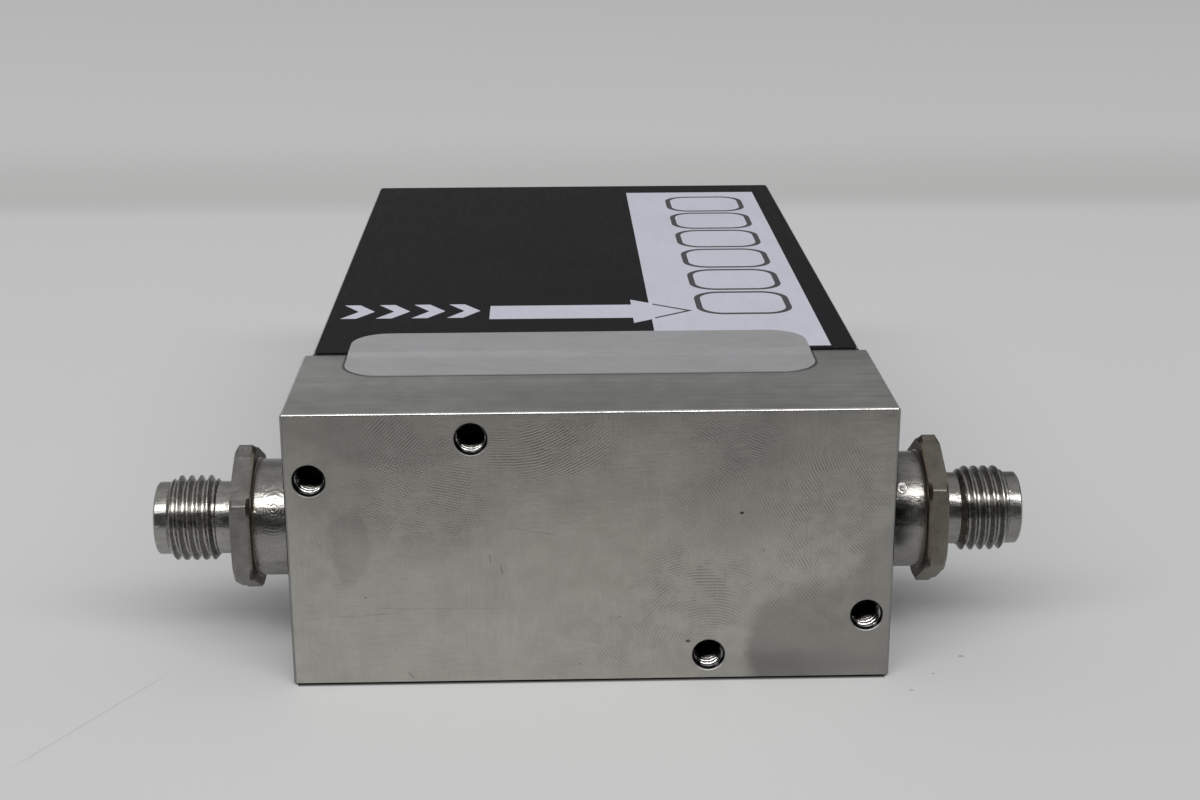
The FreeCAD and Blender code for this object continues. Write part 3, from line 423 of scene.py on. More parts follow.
def beside_sticker(tree, x, y):
    """1 along a thin dark line round the seal sticker."""
    over = []
    for part, start, end in zip((x, y), low("seal_sticker"), high("seal_sticker")):
        from_middle = tree.absolute(tree.minus(part, (start + end) / 2))
        over.append(tree.larger(tree.minus(from_middle, (end - start) / 2 - seal_corner_radius), 0.0))
    off = tree.minus(tree.length(tree.joined(*over, 0.0)), seal_corner_radius)
    return tree.times(tree.spread(off, 0.50, 0.20), tree.above(off, -0.3))


def ellipse(tree, across, centre, half_sizes, soft):
    """1 inside an ellipse on a side, with a soft border."""
    factors = (1 / half_sizes[0], 1 / half_sizes[1], 0.0)
    from_centre = tree.scaled(tree.moved(across, (*centre, 0.0)), factors)
    return tree.spread(tree.length(from_centre), 1.0 + soft, 1.0 - soft)


def scratch(tree, across, start, end, width):
    """1 along a straight scratch between two places on a side."""
    run = Vector(end) - Vector(start)
    middle = (Vector(start) + Vector(end)) / 2
    turned = tree.node("ShaderNodeVectorRotate", rotation_type="Z_AXIS")
    tree.fill(turned, Vector=tree.moved(across, (*middle, 0.0)), Angle=-math.atan2(run.y, run.x))
    along, aside, _ = [tree.absolute(part) for part in tree.parts(turned.outputs[0])]
    in_width = tree.spread(aside, width, width / 3)
    in_length = tree.spread(along, run.length / 2, run.length / 3)
    return tree.times(in_width, in_length)


def arcs_on_face(tree, across, wobble):
    """Fine arcs left by the tool and by handling, as a height from 0 to 1 and as a mask."""
    height, mask = 0.5, 0.0
    for centre, seen, half_sizes, spacing, strength in face_arcs:
        wave = rings_about(tree, across, centre, spacing, wobble)
        here = tree.times(ellipse(tree, across, seen, half_sizes, 0.45), strength)
        height = tree.add(height, tree.product(wave, here, 0.5))
        mask = tree.larger(mask, here)
    return height, mask


def rings_about(tree, across, centre, spacing, wobble):
    """A wave from -1 to 1 in rings about a place on a side."""
    reach = tree.length(tree.moved(across, (*centre, 0.0)))
    return tree.sine(tree.times(tree.add(reach, wobble), TURN / spacing))


def darker_in(tree, across, patches):
    """How much darker a side is inside its soft patches."""
    shade = 0.0
    for centre, half_sizes, depth, soft in patches:
        here = ellipse(tree, across, centre, half_sizes, soft)
        shade = tree.add(shade, tree.times(here, depth))
    return shade


def frayed_border(tree, across, place):
    """The places on a side, shifted unevenly, so that a patch's border is ragged."""
    ragged = tree.noise(place, 0.22, 3.0, 0.6)
    return tree.shifted(across, tree.times(tree.minus(ragged, 0.5), 1.5))


def corner_patch(tree, across, frayed, z, wobble):
    """How much darker the face is in its lower corner patch, more so near the floor."""
    centre, spacing, depth = patch_teeth
    teeth = tree.times(rings_about(tree, across, centre, spacing, wobble), depth)
    toothed = tree.shifted(frayed, teeth)
    shade = 0.0
    for centre, half_sizes in face_corner_patches:
        shade = tree.larger(shade, ellipse(tree, toothed, centre, half_sizes, 0.15))
    return tree.times(shade, tree.spread(z, 16.0, 2.0, 0.34, 0.58, smooth=False))


def specks_on_face(tree, across, broken):
    """The face's dark specks and scratches, with their depth of colour."""
    shade = 0.0
    for centre, radius, depth in face_specks:
        here = ellipse(tree, across, centre, (radius, radius * 0.7), 0.4)
        shade = tree.larger(shade, tree.times(here, depth))
    for start, end, width, depth in face_scratches:
        faint = tree.add(tree.times(broken, 0.8), 0.2)
        shade = tree.larger(shade, tree.product(scratch(tree, across, start, end, width), faint, depth))
    return shade


def block_grain(tree, place, front):
    """Machining grain: both ways on the tapped face, along the block elsewhere."""
    upright = tree.noise(tree.scaled(place, (5.0, 5.0, 0.35)), 1.0, 4.0, 0.65)
    level = tree.noise(tree.scaled(place, (0.35, 4.0, 4.0)), 1.0, 4.0, 0.65)
    on_face = tree.blend(tree.noise(place, 0.12, 2.0), level, upright)
    along = tree.noise(tree.scaled(place, (0.045, 2.2, 2.2)), 1.0, 6.0, 0.72)
    return tree.blend(front, along, on_face)


def block_edges(tree, colour, edge, place):
    """colour with the broken edges over it: a painted highlight where they face up, painted shade where
    they face sideways and low down, and a dark joint at the back.
    """
    up_share = tree.parts(tree.normal())[2]
    # Patchy breakup of the painted edge highlight.
    patchy_glint = tree.spread(tree.noise(place, 2.2, 3.0, 0.7), 0.35, 0.62, 0.55, 1.0)
    at_joint = tree.above(tree.parts(place)[1], joint_face - chamfer - 0.05)
    # Painted highlight on the edges facing up; painted shade on the edges facing down, together with the
    # dark joint at the back.
    painted_glint_up = tree.times(tree.spread(up_share, 0.1, 0.6), tree.minus(1.0, at_joint))
    shade_low_and_joint = tree.larger(tree.spread(up_share, -0.3, -0.6), at_joint)
    # Painted shade on the edges facing sideways.
    painted_edge_shade = tree.times(edge, tree.spread(up_share, 0.5, 0.1, 0.0, 0.55))
    colour = tree.mix(painted_edge_shade, colour, grey(0.12, 0.02))
    colour = tree.over(colour, grey(0.58, 0.01), edge, patchy_glint, painted_glint_up)
    return tree.over(colour, grey(0.035, 0.02), edge, shade_low_and_joint)


def block_steel():
    """Machined stainless steel: fine grain, handling marks, painted highlights and painted shade on the
    broken edges, painted light near the top of the tapped face and painted shade inside the holes.
    """
    tree, place = new_material("block_steel")
    x, y, z = tree.parts(place)
    across = tree.joined(x, z, 0.0)
    front = facing(tree, 1, -1.0)
    top = facing(tree, 2, 1.0)
    from_sides = from_block_sides(tree, place)
    edge = on_block_edge(tree, from_sides)
    smudge = tree.noise(tree.scaled(place, (1.0, 1.0, 1.4)), 0.075, 5.0, 0.6)
    cloud = tree.noise(place, 0.30, 5.0, 0.62)
    grit = tree.noise(place, 4.0, 3.0, 0.7)
    grain = block_grain(tree, place, front)
    broken = tree.spread(tree.noise(place, 0.45, 3.0, 0.6), 0.15, 0.75)
    wobble = tree.times(tree.noise(place, 0.12, 1.0), 0.45)

    arc_height, arc_mask = arcs_on_face(tree, across, wobble)
    arc_height = tree.blend(tree.times(broken, front), 0.5, arc_height)
    arc_shade = tree.product(arc_mask, broken, tree.spread(arc_height, 0.1, 0.9, 0.0, 0.42))
    frayed = frayed_border(tree, across, place)
    frayed_top = frayed_border(tree, tree.joined(x, y, 0.0), place)
    in_corner = corner_patch(tree, across, frayed, z, wobble)
    shade = tree.add(darker_in(tree, frayed, face_patches), in_corner)
    top_shade = tree.times(darker_in(tree, frayed_top, top_patches), top)
    shade = tree.add(tree.times(shade, front), top_shade)
    specks = tree.times(specks_on_face(tree, across, broken), front)
    stain = tree.product(ellipse(tree, frayed, *face_stain), front, tree.noise(place, 0.4, 4.0))
    # A thin dark line round the seal sticker.
    sticker_edge_line = tree.times(beside_sticker(tree, x, y), top)
    # Painted light: the upper part of the tapped face made lighter, standing in for what it reflects there.
    painted_light_near_top = tree.times(front, tree.spread(z, 24.0, 34.0, 0.0, 0.10))

    tone = tree.weighted((smudge, 0.26), (cloud, 0.26), (grain, 0.34), (grit, 0.14))
    cool_colour = tree.mix(tone, grey(0.33, 0.02), grey(0.61, 0.02))
    warm_colour = tree.mix(tone, grey(0.34, 0.062), grey(0.58, 0.055))
    colour = tree.mix(front, cool_colour, warm_colour)
    colour = tree.over(colour, (0.47, 0.40, 0.35), stain, 0.35)
    colour = tree.over(colour, grey(0.06), sticker_edge_line, 0.75)
    colour = tree.mix(arc_shade, colour, grey(0.24, 0.05))
    colour = tree.mix(painted_light_near_top, colour, grey(0.85, 0.05))
    colour = tree.mix(shade, colour, grey(0.20, 0.03))
    colour = tree.mix(specks, colour, (0.02, 0.016, 0.012))
    colour = block_edges(tree, colour, edge, place)
    # Painted shade inside the holes.
    colour = tree.over(colour, grey(0.06, 0.02), painted_hole_shade(tree, from_sides), 0.85)

    rough = tree.add(0.30, tree.weighted((smudge, 0.10), (grain, 0.08), (shade, 0.15)))
    relief = tree.bump(rounded_chamfers(tree, from_sides), 1.0)
    for height, distance, strength in ((grain, 0.006, 1.0), (arc_height, 0.015, 1.0), (cloud, 0.02, 0.8)):
        relief = tree.bump(height, distance, strength, relief)
    rough = tree.blend(edge, rough, 0.24)
    return tree.finish(colour, rough, relief, Metallic=1.0, Anisotropic=0.3)


# Marks on the necks, as places (x, z) seen from the camera's side.
# A ring: centre, radius, width. Arcs: centre, how far they show, spacing.
neck_ring = ((40.1, 23.3), 0.48, 0.20)
neck_arcs = ((-40.3, 22.0), (1.7, 4.0), 0.42)

# How far the hexagon's mask reaches past its two faces, and where its matt finish starts.
mask_skin = 0.02
matt_inner_radius = 5.2


def ring_mark(tree, across, centre, radius, width):
    """1 along a small round dent's rim."""
    reach = tree.length(tree.moved(across, (*centre, 0.0)))
    return tree.spread(tree.absolute(tree.minus(reach, radius)), width, width / 3)


def hexagon_masks(tree, reach, radius):
    """1 on the hexagon, on its face towards the block, and on the neck's last stretch before it."""
    on_hex = tree.product(
        tree.above(reach, hex_inner - mask_skin),
        tree.below(reach, hex_outer + mask_skin),
        tree.above(radius, matt_inner_radius),
    )
    inner_face = tree.times(on_hex, tree.below(reach, hex_inner + 0.1))
    near_hex = tree.spread(reach, hex_inner - 0.9, hex_inner)
    near_hex = tree.times(near_hex, tree.below(reach, hex_inner + 0.4))
    return on_hex, inner_face, near_hex


def matt_hexagon(tree, x, z, mottle, on_outlet):
    """The hexagons' bead-blasted colour, with painted shade where they face up and on the side towards the
    block, more so higher up on that side.
    """
    inlet = tree.mix(mottle, grey(0.12, 0.05), grey(0.31, 0.045))
    outlet = tree.mix(mottle, grey(0.11, 0.13), grey(0.27, 0.11))
    colour = tree.mix(on_outlet, inlet, outlet)
    normal_x, _, normal_z = tree.parts(tree.normal())
    # Painted shade on the flats facing up.
    colour = tree.mix(tree.spread(normal_z, 0.2, 0.6, 0.0, 0.16), colour, grey(0.05))
    # Painted shade on the side towards the block, more so higher up.
    shade = tree.spread(tree.times(normal_x, tree.sign(x)), -0.2, -0.4)
    shade = tree.times(shade, tree.spread(z, 11.0, 23.0, 0.25, 0.85))
    return tree.mix(shade, colour, grey(0.025, 0.04))


def fitting_steel():
    """Turned stainless steel, polished on the round parts and matt on the bead-blasted hexagon, with a
    painted dark band on the outlet neck and a little painted shade on the inlet neck.
    """
    tree, place = new_material("fitting_steel")
    x, y, z = tree.parts(place)
    across = tree.joined(x, z, 0.0)
    reach = tree.absolute(x)
    radius = tree.length(tree.joined(0.0, y, tree.minus(z, flow_z)))
    on_hex, inner_face, near_hex = hexagon_masks(tree, reach, radius)
    in_bore = tree.below(radius, tube_mouth_radius + 0.1)
    on_outlet = tree.above(x, 0.0)
    off_thread = tree.larger(tree.below(reach, thread_start), tree.above(reach, thread_end))
    seen_neck = tree.times(tree.below(reach, hex_inner - mask_skin), tree.below(y, 0.0))

    cloud = tree.noise(place, 0.6, 4.0, 0.6)
    grit = tree.noise(place, 9.0, 3.0, 0.75)
    turning = tree.noise(tree.joined(tree.times(x, 9.0), 0.0, 0.0), 1.0, 3.0, 0.8)
    smear = tree.noise(tree.scaled(place, (0.5, 1.4, 1.4)), 0.7, 4.0, 0.65)
    dents = tree.times(tree.spread(tree.cells(place, 0.55), 0.30, 0.12), tree.above(smear, 0.56))
    ring = tree.times(ring_mark(tree, across, *neck_ring), seen_neck)
    ring = tree.times(ring, tree.spread(smear, 0.2, 0.6, 0.3, 1.0))
    centre, half_sizes, spacing = neck_arcs
    arcs = tree.times(rings_about(tree, across, centre, spacing, 0.0), seen_neck)
    arcs = tree.times(arcs, ellipse(tree, across, centre, half_sizes, 0.3))
    # Painted shade: a dark reflection band on the outlet neck's camera side, next to the block.
    painted_dark_band = tree.product(
        tree.spread(reach, side_face + 4.0, side_face + 1.2),
        tree.times(seen_neck, on_outlet),
        tree.times(tree.spread(z, 14.5, 17.0), tree.spread(z, 27.5, 23.0)),
        tree.spread(cloud, 0.1, 0.6, 0.55, 0.95),
    )
    # Painted shade: the inlet neck's camera side a little darker, dimming its highlight.
    shaded_inlet_neck = tree.times(seen_neck, tree.below(x, 0.0))

    colour = tree.mix(tree.weighted((turning, 0.5), (smear, 0.5)), grey(0.19, 0.045), grey(0.46, 0.035))
    colour = tree.over(colour, grey(0.10, 0.04), on_outlet, 0.30)
    colour = tree.mix(painted_dark_band, colour, grey(0.03, 0.04))
    colour = tree.over(colour, grey(0.55, 0.02), ring, 0.5)
    colour = tree.over(colour, grey(0.05, 0.04), shaded_inlet_neck, 0.15)
    mottle = tree.weighted((grit, 0.6), (cloud, 0.4))
    colour = tree.mix(on_hex, colour, matt_hexagon(tree, x, z, mottle, on_outlet))
    heat_tint = tree.times(near_hex, tree.spread(smear, 0.35, 0.6, 0.15, 0.55))
    colour = tree.mix(heat_tint, colour, (0.17, 0.125, 0.08))
    colour = tree.over(colour, (0.05, 0.042, 0.032), inner_face, 0.7)
    colour = tree.mix(in_bore, colour, grey(0.35, 0.03))

    rough_round = tree.add(0.15, tree.product(smear, turning, 0.34))
    rough_hex = tree.add(0.36, tree.times(grit, 0.12))
    relief = tree.bump(tree.times(turning, off_thread), 0.009, 1.0)
    relief = tree.bump(tree.times(smear, off_thread), 0.03, 0.8, relief)
    relief = tree.bump(tree.times(dents, off_thread), 0.07, 0.7, relief)
    relief = tree.bump(tree.add(ring, tree.times(arcs, 0.12)), 0.05, 0.8, relief)
    relief = tree.bump(tree.times(grit, on_hex), 0.014, 0.8, relief)
    rough = tree.blend(on_hex, rough_round, rough_hex)
    return tree.finish(colour, rough, relief, Metallic=1.0)


def thread_steel():
    """Bright cut steel of the tapped holes' threads, with painted glints on the crests, painted shade on
    the flanks and roots, and painted shade deeper in the holes.
    """
    tree, place = new_material("thread_steel")
    cloud = tree.noise(place, 1.2, 3.0)
    fine = tree.noise(place, 8.0, 3.0, 0.7)
    x, y, z = tree.parts(place)
    across = tree.joined(x, z, 0.0)
    radius = hole_radius + hole_wall_embed
    for _, hole_x, hole_z in hole_places:
        radius = tree.smaller(radius, tree.length(tree.moved(across, (hole_x, hole_z, 0.0))))
    # Painted glints on the crests; the flanks and roots get painted shade.
    crest = tree.spread(radius, hole_minor_radius + 0.13, hole_minor_radius + 0.04)
    # Painted shade, deeper into the holes.
    painted_depth_shade = tree.spread(tree.minus(y, mount_face), 0.6, 4.0)
    colour = tree.mix(cloud, grey(0.40, 0.02), grey(0.85, 0.02))
    colour = tree.mix(crest, grey(0.012, 0.02), colour)
    colour = tree.mix(painted_depth_shade, colour, (0.03, 0.027, 0.024))
    rough = tree.add(0.08, tree.times(fine, 0.08))
    return tree.finish(colour, rough, tree.bump(fine, 0.006, 0.6), Metallic=1.0)


def sheet_metal(name, base, rough, grain=(0.1, 6.0, 6.0), tone=0.12, joint_at=None):
    """Brushed or plated sheet: grain one way, smudges, fine scratches, a painted highlight on the edges and
    a dark joint.
    """
    tree, place = new_material(name)
    strokes = tree.noise(tree.scaled(place, grain), 1.0, 4.0, 0.65)
    cloud = tree.noise(place, 0.12, 4.0, 0.6)
    fine = tree.noise(place, 4.0, 3.0, 0.7)
    mixed = tree.weighted((strokes, 0.5), (cloud, 0.35), (fine, 0.15))
    handled = tree.times(tree.spread(tree.noise(place, 0.05, 5.0, 0.65), 0.45, 0.8), 0.25)
    scored = tree.noise(tree.scaled(place, (0.25, 2.6, 1.9)), 0.6, 2.0, 0.5)
    scored = tree.spread(tree.absolute(tree.minus(scored, 0.5)), 0.014, 0.004)
    scored = tree.product(scored, 0.3, tree.spread(cloud, 0.45, 0.75))
    # Painted highlight along the edges, broken up by noise.
    patchy_glint = tree.times(on_edge(tree), tree.spread(fine, 0.2, 0.7, 0.3, 0.9))
    scratch_and_glint_colour = lighter(base, 1.35)
    colour = varied(tree, mixed, base, tone)
    colour = tree.mix(handled, colour, lighter(base, 0.62))
    colour = tree.mix(scored, colour, scratch_and_glint_colour)
    colour = tree.mix(patchy_glint, colour, scratch_and_glint_colour)
    if joint_at is not None:
        joint = tree.spread(tree.parts(place)[1], joint_at + 0.45, joint_at + 0.2)
        colour = tree.over(colour, grey(0.03), joint, 0.9)
    rough = tree.add(rough - 0.05, tree.weighted((mixed, 0.12), (handled, 0.5)))
    return tree.finish(colour, rough, tree.bump(strokes, 0.006, 0.7), Metallic=1.0)


def plated(name, base, rough, mottle=0.15, size=1.5):
    """Small turned or plated metal parts: faintly mottled plating with a fine grain."""
    tree, place = new_material(name)
    cloud = tree.noise(place, size * 0.2, 3.0, 0.55)
    fine = tree.noise(place, size * 5, 3.0, 0.7)
    colour = varied(tree, tree.weighted((cloud, 0.8), (fine, 0.2)), base, mottle)
    rough = tree.add(rough, tree.times(fine, 0.06))
    return tree.finish(colour, rough, tree.bump(fine, 0.002, 0.6), Metallic=1.0)


def moulded(name, base, rough=0.45, grain=0.012, tone=0.18):
    """Moulded plastic or rubber: fine grain, faint flow marks, paler edges."""
    tree, place = new_material(name)
    cloud = tree.noise(place, 0.25, 3.0)
    fine = tree.noise(place, 7.0, 4.0, 0.7)
    colour = varied(tree, tree.weighted((cloud, 0.5), (fine, 0.5)), base, tone)
    colour = tree.over(colour, lighter(base, 1.6, 0.01), on_edge(tree), 0.25)
    rough = tree.add(rough - 0.05, tree.times(fine, 0.12))
    return tree.finish(colour, rough, tree.bump(fine, grain, 0.7))


def wound(name, base, pitch, rough=0.35, metallic=0.0):
    """Fine wire laid side by side along X or Z, with painted shade between the wires."""
    tree, place = new_material(name)
    x, y, z = tree.parts(place)
    wave = tree.sine(tree.times(tree.add(tree.add(x, y), z), TURN / pitch))
    height = tree.spread(wave, -1.0, 1.0)
    cloud = tree.noise(place, 1.0, 3.0)
    # Painted shade in the grooves between the wires.
    colour = tree.mix(height, lighter(base, 0.45), base)
    colour = varied_over(tree, cloud, colour)
    rough = tree.add(rough, tree.times(cloud, 0.1))
    return tree.finish(colour, rough, tree.bump(height, pitch * 0.3, 0.8), Metallic=metallic)


def varied_over(tree, amount, colour):
    """colour, darkened a little where amount is low."""
    return tree.over(colour, (0.02, 0.02, 0.02), tree.minus(1.0, amount), 0.3)


def woven_mesh():
    """Fine woven wire of the inlet screen, with painted shade where the wires dip."""
    tree, place = new_material("woven_mesh")
    _, y, z = tree.parts(place)
    mesh_pitch = 0.16
    over = tree.sine(tree.times(y, TURN / mesh_pitch))
    under = tree.sine(tree.times(z, TURN / mesh_pitch))
    height = tree.spread(tree.times(over, under), -1.0, 1.0)
    fine = tree.noise(place, 6.0, 3.0)
    # Painted shade where the wires dip under each other.
    colour = tree.mix(height, grey(0.2, 0.02), grey(0.62, 0.02))
    colour = varied_over(tree, fine, colour)
    rough = tree.add(0.25, tree.times(fine, 0.2))
    return tree.finish(colour, rough, tree.bump(height, 0.05, 0.8), Metallic=1.0)


def board_laminate():
    """Green solder mask over a glass weave, with copper tracks under it."""
    tree, place = new_material("board_laminate")
    weave_pitch = 0.55
    weave = [tree.sine(tree.times(part, TURN / weave_pitch)) for part in tree.parts(place)[:2]]
    cell = tree.cells(tree.scaled(place, (0.35, 0.12, 0.0)), 1.0, "DISTANCE_TO_EDGE")
    tracks = tree.spread(cell, 0.06, 0.03)
    colour = tree.mix(tracks, (0.010, 0.075, 0.030), (0.030, 0.16, 0.060))
    cut_edge = tree.below(tree.absolute(tree.parts(tree.normal())[2]), 0.5)
    colour = tree.over(colour, (0.30, 0.27, 0.14), cut_edge, 0.9)
    cloud = tree.noise(place, 0.2, 3.0)
    colour = varied_over(tree, cloud, colour)
    rough = tree.add(0.22, tree.times(cloud, 0.12))
    relief = tree.bump(tree.add(tree.product(*weave, 0.3), tracks), 0.02, 0.6)
    return tree.finish(colour, rough, relief)


def banded_resistor():
    """Painted resistor bodies with a few colour bands across them."""
    tree, place = new_material("banded_resistor")
    x, y, _ = tree.parts(place)
    band_pitch = 1.35
    wave = tree.sine(tree.times(y, TURN / band_pitch))
    band = tree.above(wave, 0.55)
    hue = tree.noise(tree.joined(tree.math("FLOOR", tree.times(y, 1 / band_pitch)), x, 0.0), 0.9)
    colour_of_band = tree.mix(tree.spread(hue, 0.4, 0.6), (0.30, 0.035, 0.012), (0.02, 0.015, 0.014))
    fine = tree.noise(place, 6.0)
    colour = tree.mix(band, (0.36, 0.25, 0.13), colour_of_band)
    colour = varied_over(tree, fine, colour)
    rough = tree.add(0.32, tree.times(fine, 0.1))
    return tree.finish(colour, rough, tree.bump(fine, 0.01, 0.6))


def label_film(name, base, rough, specular=0.3, tone=0.10, dust=0.0):
    """Printed film: a faint orange peel, faint rub marks and a little dust."""
    tree, place = new_material(name)
    cloud = tree.noise(place, 0.06, 4.0, 0.6)
    peel = tree.noise(place, 1.6, 3.0, 0.6)
    rub = tree.noise(tree.scaled(place, (0.9, 0.12, 0.9)), 1.0, 4.0, 0.7)
    colour = varied(tree, tree.weighted((cloud, 0.5), (rub, 0.5)), base, tone)
    grains = tree.spread(tree.cells(place, 0.45), 0.055, 0.03)
    colour = tree.over(colour, grey(0.30), grains, dust)
    colour = tree.over(colour, lighter(base, 1.5, 0.02), on_edge(tree), 0.4)
    rough = tree.add(rough - 0.06, tree.times(rub, 0.12))
    return tree.finish(colour, rough, tree.bump(peel, 0.004, 0.7), Specular_IOR_Level=specular)


def seal_film():
    """Silver polyester sticker: satin, faintly mottled, with a painted highlight over the step onto the
    label.
    """
    tree, place = new_material("seal_film")
    x, y, _ = tree.parts(place)
    cloud = tree.noise(place, 0.10, 4.0, 0.6)
    mottle = tree.noise(tree.scaled(place, (0.5, 1.2, 1.0)), 0.8, 4.0, 0.7)
    fine = tree.noise(place, 7.0, 3.0, 0.7)
    mixed = tree.weighted((cloud, 0.4), (mottle, 0.35), (fine, 0.25))
    # Painted highlight along the step, stronger towards the inlet end.
    painted_step_highlight = tree.spread(tree.absolute(tree.minus(y, joint_face - 1.0)), 1.3, 0.2)
    painted_step_highlight = tree.times(painted_step_highlight, tree.spread(x, 5.0, -28.0))
    colour = tree.mix(mixed, grey(0.39, -0.018), grey(0.50, -0.018))
    colour = tree.over(colour, grey(0.62, -0.01), painted_step_highlight, 0.2)
    rough = tree.add(0.36, tree.times(mottle, 0.1))
    relief = tree.bump(tree.add(mottle, tree.times(fine, 0.3)), 0.012, 0.6)
    return tree.finish(colour, rough, relief, Metallic=0.55)


# Meshes.
sharp_angle = 30.0
weld_distance = 0.0005


def linked(name, mesh, material):
    mesh.materials.append(material)
    made = bpy.data.objects.new(name, mesh)
    bpy.context.collection.objects.link(made)
    return made


def piece_from(name, vertices, faces, material, body):
    """One object from points in millimetres, shaded smooth with its corners kept sharp."""
    mesh = bpy.data.meshes.new(name)
    mesh.from_pydata([tuple(c * MM for c in v) for v in vertices], [], faces)
    shape = bmesh.new()
    shape.from_mesh(mesh)
    bmesh.ops.remove_doubles(shape, verts=shape.verts, dist=weld_distance * MM)
    bmesh.ops.recalc_face_normals(shape, faces=shape.faces)
    for face in shape.faces:
        face.smooth = True
    for edge in shape.edges:
        edge.smooth = edge.calc_face_angle(math.pi) < math.radians(sharp_angle)
    shape.to_mesh(mesh)
    shape.free()
    made = linked(name, mesh, material)
    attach(made, body)
    return made


def ring_loop(rings, angles, around):
    """Points and faces of a closed surface swept through rings. around(x, radius, angle) places a point."""
    vertices = []
    for x, radius in rings:
        for angle in angles:
            given = radius(angle) if callable(radius) else radius
            vertices.append(around(x, given, angle))
    count = len(angles)
    faces = []
    for ring in range(len(rings)):
        here = ring * count
        after = (ring + 1) % len(rings) * count
        for step in range(count):
            beside = (step + 1) % count
            faces.append((here + step, here + beside, after + beside, after + step))
    return vertices, faces


# Angles round a fitting, closer together at the hexagon's corners.
half_flat_steps = (0.15, 0.3, 0.45, 0.6, 0.75, 0.88, 0.96, 0.985)
flat_steps = (-1.0, *(-step for step in reversed(half_flat_steps)), 0.0, *half_flat_steps)


def fitting_angles(turn):
    """Six equal shares, one for each flat, from corner to corner."""
    angles = []
    for flat in range(6):
        middle = turn + (flat + 0.5) * TURN / 6
        angles.extend(middle + step * TURN / 12 for step in flat_steps)
    return angles


def hex_radius(turn, cut):
    """The hexagon's radius at an angle, its corners cut by a cone of radius cut and a little round."""
    across = hex_across_flats / 2
    corner = across / math.cos(TURN / 12)

    def at(angle):
        off = (angle - turn) % (TURN / 6) - TURN / 12
        flat = across / math.cos(off)
        return min(flat, corner - hex_corner_round, cut)

    return at


thread_samples = 28
thread_flat_crest = 0.14
thread_flat_root = 0.20
thread_run_in = 0.9


def thread_profile(phase, root, crest):
    """The thread's radius at a share of the pitch: flat root, flank, flat crest, flank."""
    phase %= 1.0
    flank = (1 - thread_flat_crest - thread_flat_root) / 2
    if phase < thread_flat_root:
        return root
    if phase < thread_flat_root + flank:
        return root + (crest - root) * (phase - thread_flat_root) / flank
    if phase < 1 - flank:
        return crest
    return root + (crest - root) * (1 - phase) / flank


def fitting_thread_radius(reach, side):
    """The tube thread's radius at a distance from the meter's middle, as a function of the angle."""

    def at(angle):
        phase = side * reach / thread_pitch - angle / TURN
        cut = thread_profile(phase, thread_root_radius, thread_radius)
        from_start = relief_radius + (reach - thread_start) / thread_run_in
        from_end = nose_radius + (thread_end - reach) / thread_run_in
        return min(cut, max(from_start, relief_radius), max(from_end, nose_radius))

    return at


def fitting_rings(side, turn, has_screen_seat):
    """The fitting's section as rings: its outside from the inner end to the nose, then its bore."""
    corner = hex_across_flats / 2 / math.cos(TURN / 12)
    cut_run = hex_corner_cut
    cut_radius = corner - cut_run / math.tan(math.radians(hex_chamfer_angle))
    outside = [
        (fitting_inner_end, port_thread_radius - port_lead),
        (fitting_inner_end + port_lead, port_thread_radius),
        (side_face - port_groove_length, port_thread_radius),
        (side_face - port_groove_length, port_groove_radius),
        (side_face, port_groove_radius),
        (side_face, neck_radius),
        (hex_inner - neck_fillet, neck_radius),
        (hex_inner, neck_radius + neck_fillet),
        (hex_inner, hex_radius(turn, cut_radius)),
        (hex_inner + cut_run, hex_radius(turn, corner)),
        (hex_outer - cut_run, hex_radius(turn, corner)),
        (hex_outer, hex_radius(turn, cut_radius)),
        (hex_outer, relief_radius + relief_fillet),
        (hex_outer + relief_fillet, relief_radius),
        (thread_start, relief_radius),
    ]
    turns = (thread_end - thread_start) / thread_pitch
    steps = round(turns * thread_samples)
    thread = []
    for step in range(1, steps):
        reach = thread_start + (thread_end - thread_start) * step / steps
        thread.append((reach, fitting_thread_radius(reach, side)))
    mouth_length = (tube_mouth_radius - tube_bore_radius) / math.tan(math.radians(tube_mouth_half_angle))
    bore_floor = nose_end - tube_bore_depth
    inside = [
        (thread_end, nose_radius),
        (nose_end - nose_edge, nose_radius),
        (nose_end, nose_radius - nose_edge),
        (nose_end, tube_mouth_radius),
        (nose_end - mouth_length, tube_bore_radius),
        (bore_floor, tube_bore_radius),
        (bore_floor, through_bore_radius),
    ]
    if has_screen_seat:
        seat = fitting_inner_end + screen_seat_depth
        inside += [(seat, through_bore_radius), (seat, screen_seat_radius)]
    inner_radius = screen_seat_radius if has_screen_seat else through_bore_radius
    inside.append((fitting_inner_end, inner_radius))
    return outside + thread + inside


def make_fitting(node, side, material):
    """A fitting with its true helical thread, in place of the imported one."""
    turn = math.radians(-90.0 - hex_turns[node])

    def around(reach, radius, angle):
        return (side * reach, radius * math.sin(angle), flow_z - radius * math.cos(angle))

    rings = fitting_rings(side, turn, node == "inlet_fitting")
    vertices, faces = ring_loop(rings, fitting_angles(turn), around)
    made = piece_from(node + "_turned", vertices, faces, material, "meter")
    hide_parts(node)


hole_thread_samples = 18
hole_segments = 48


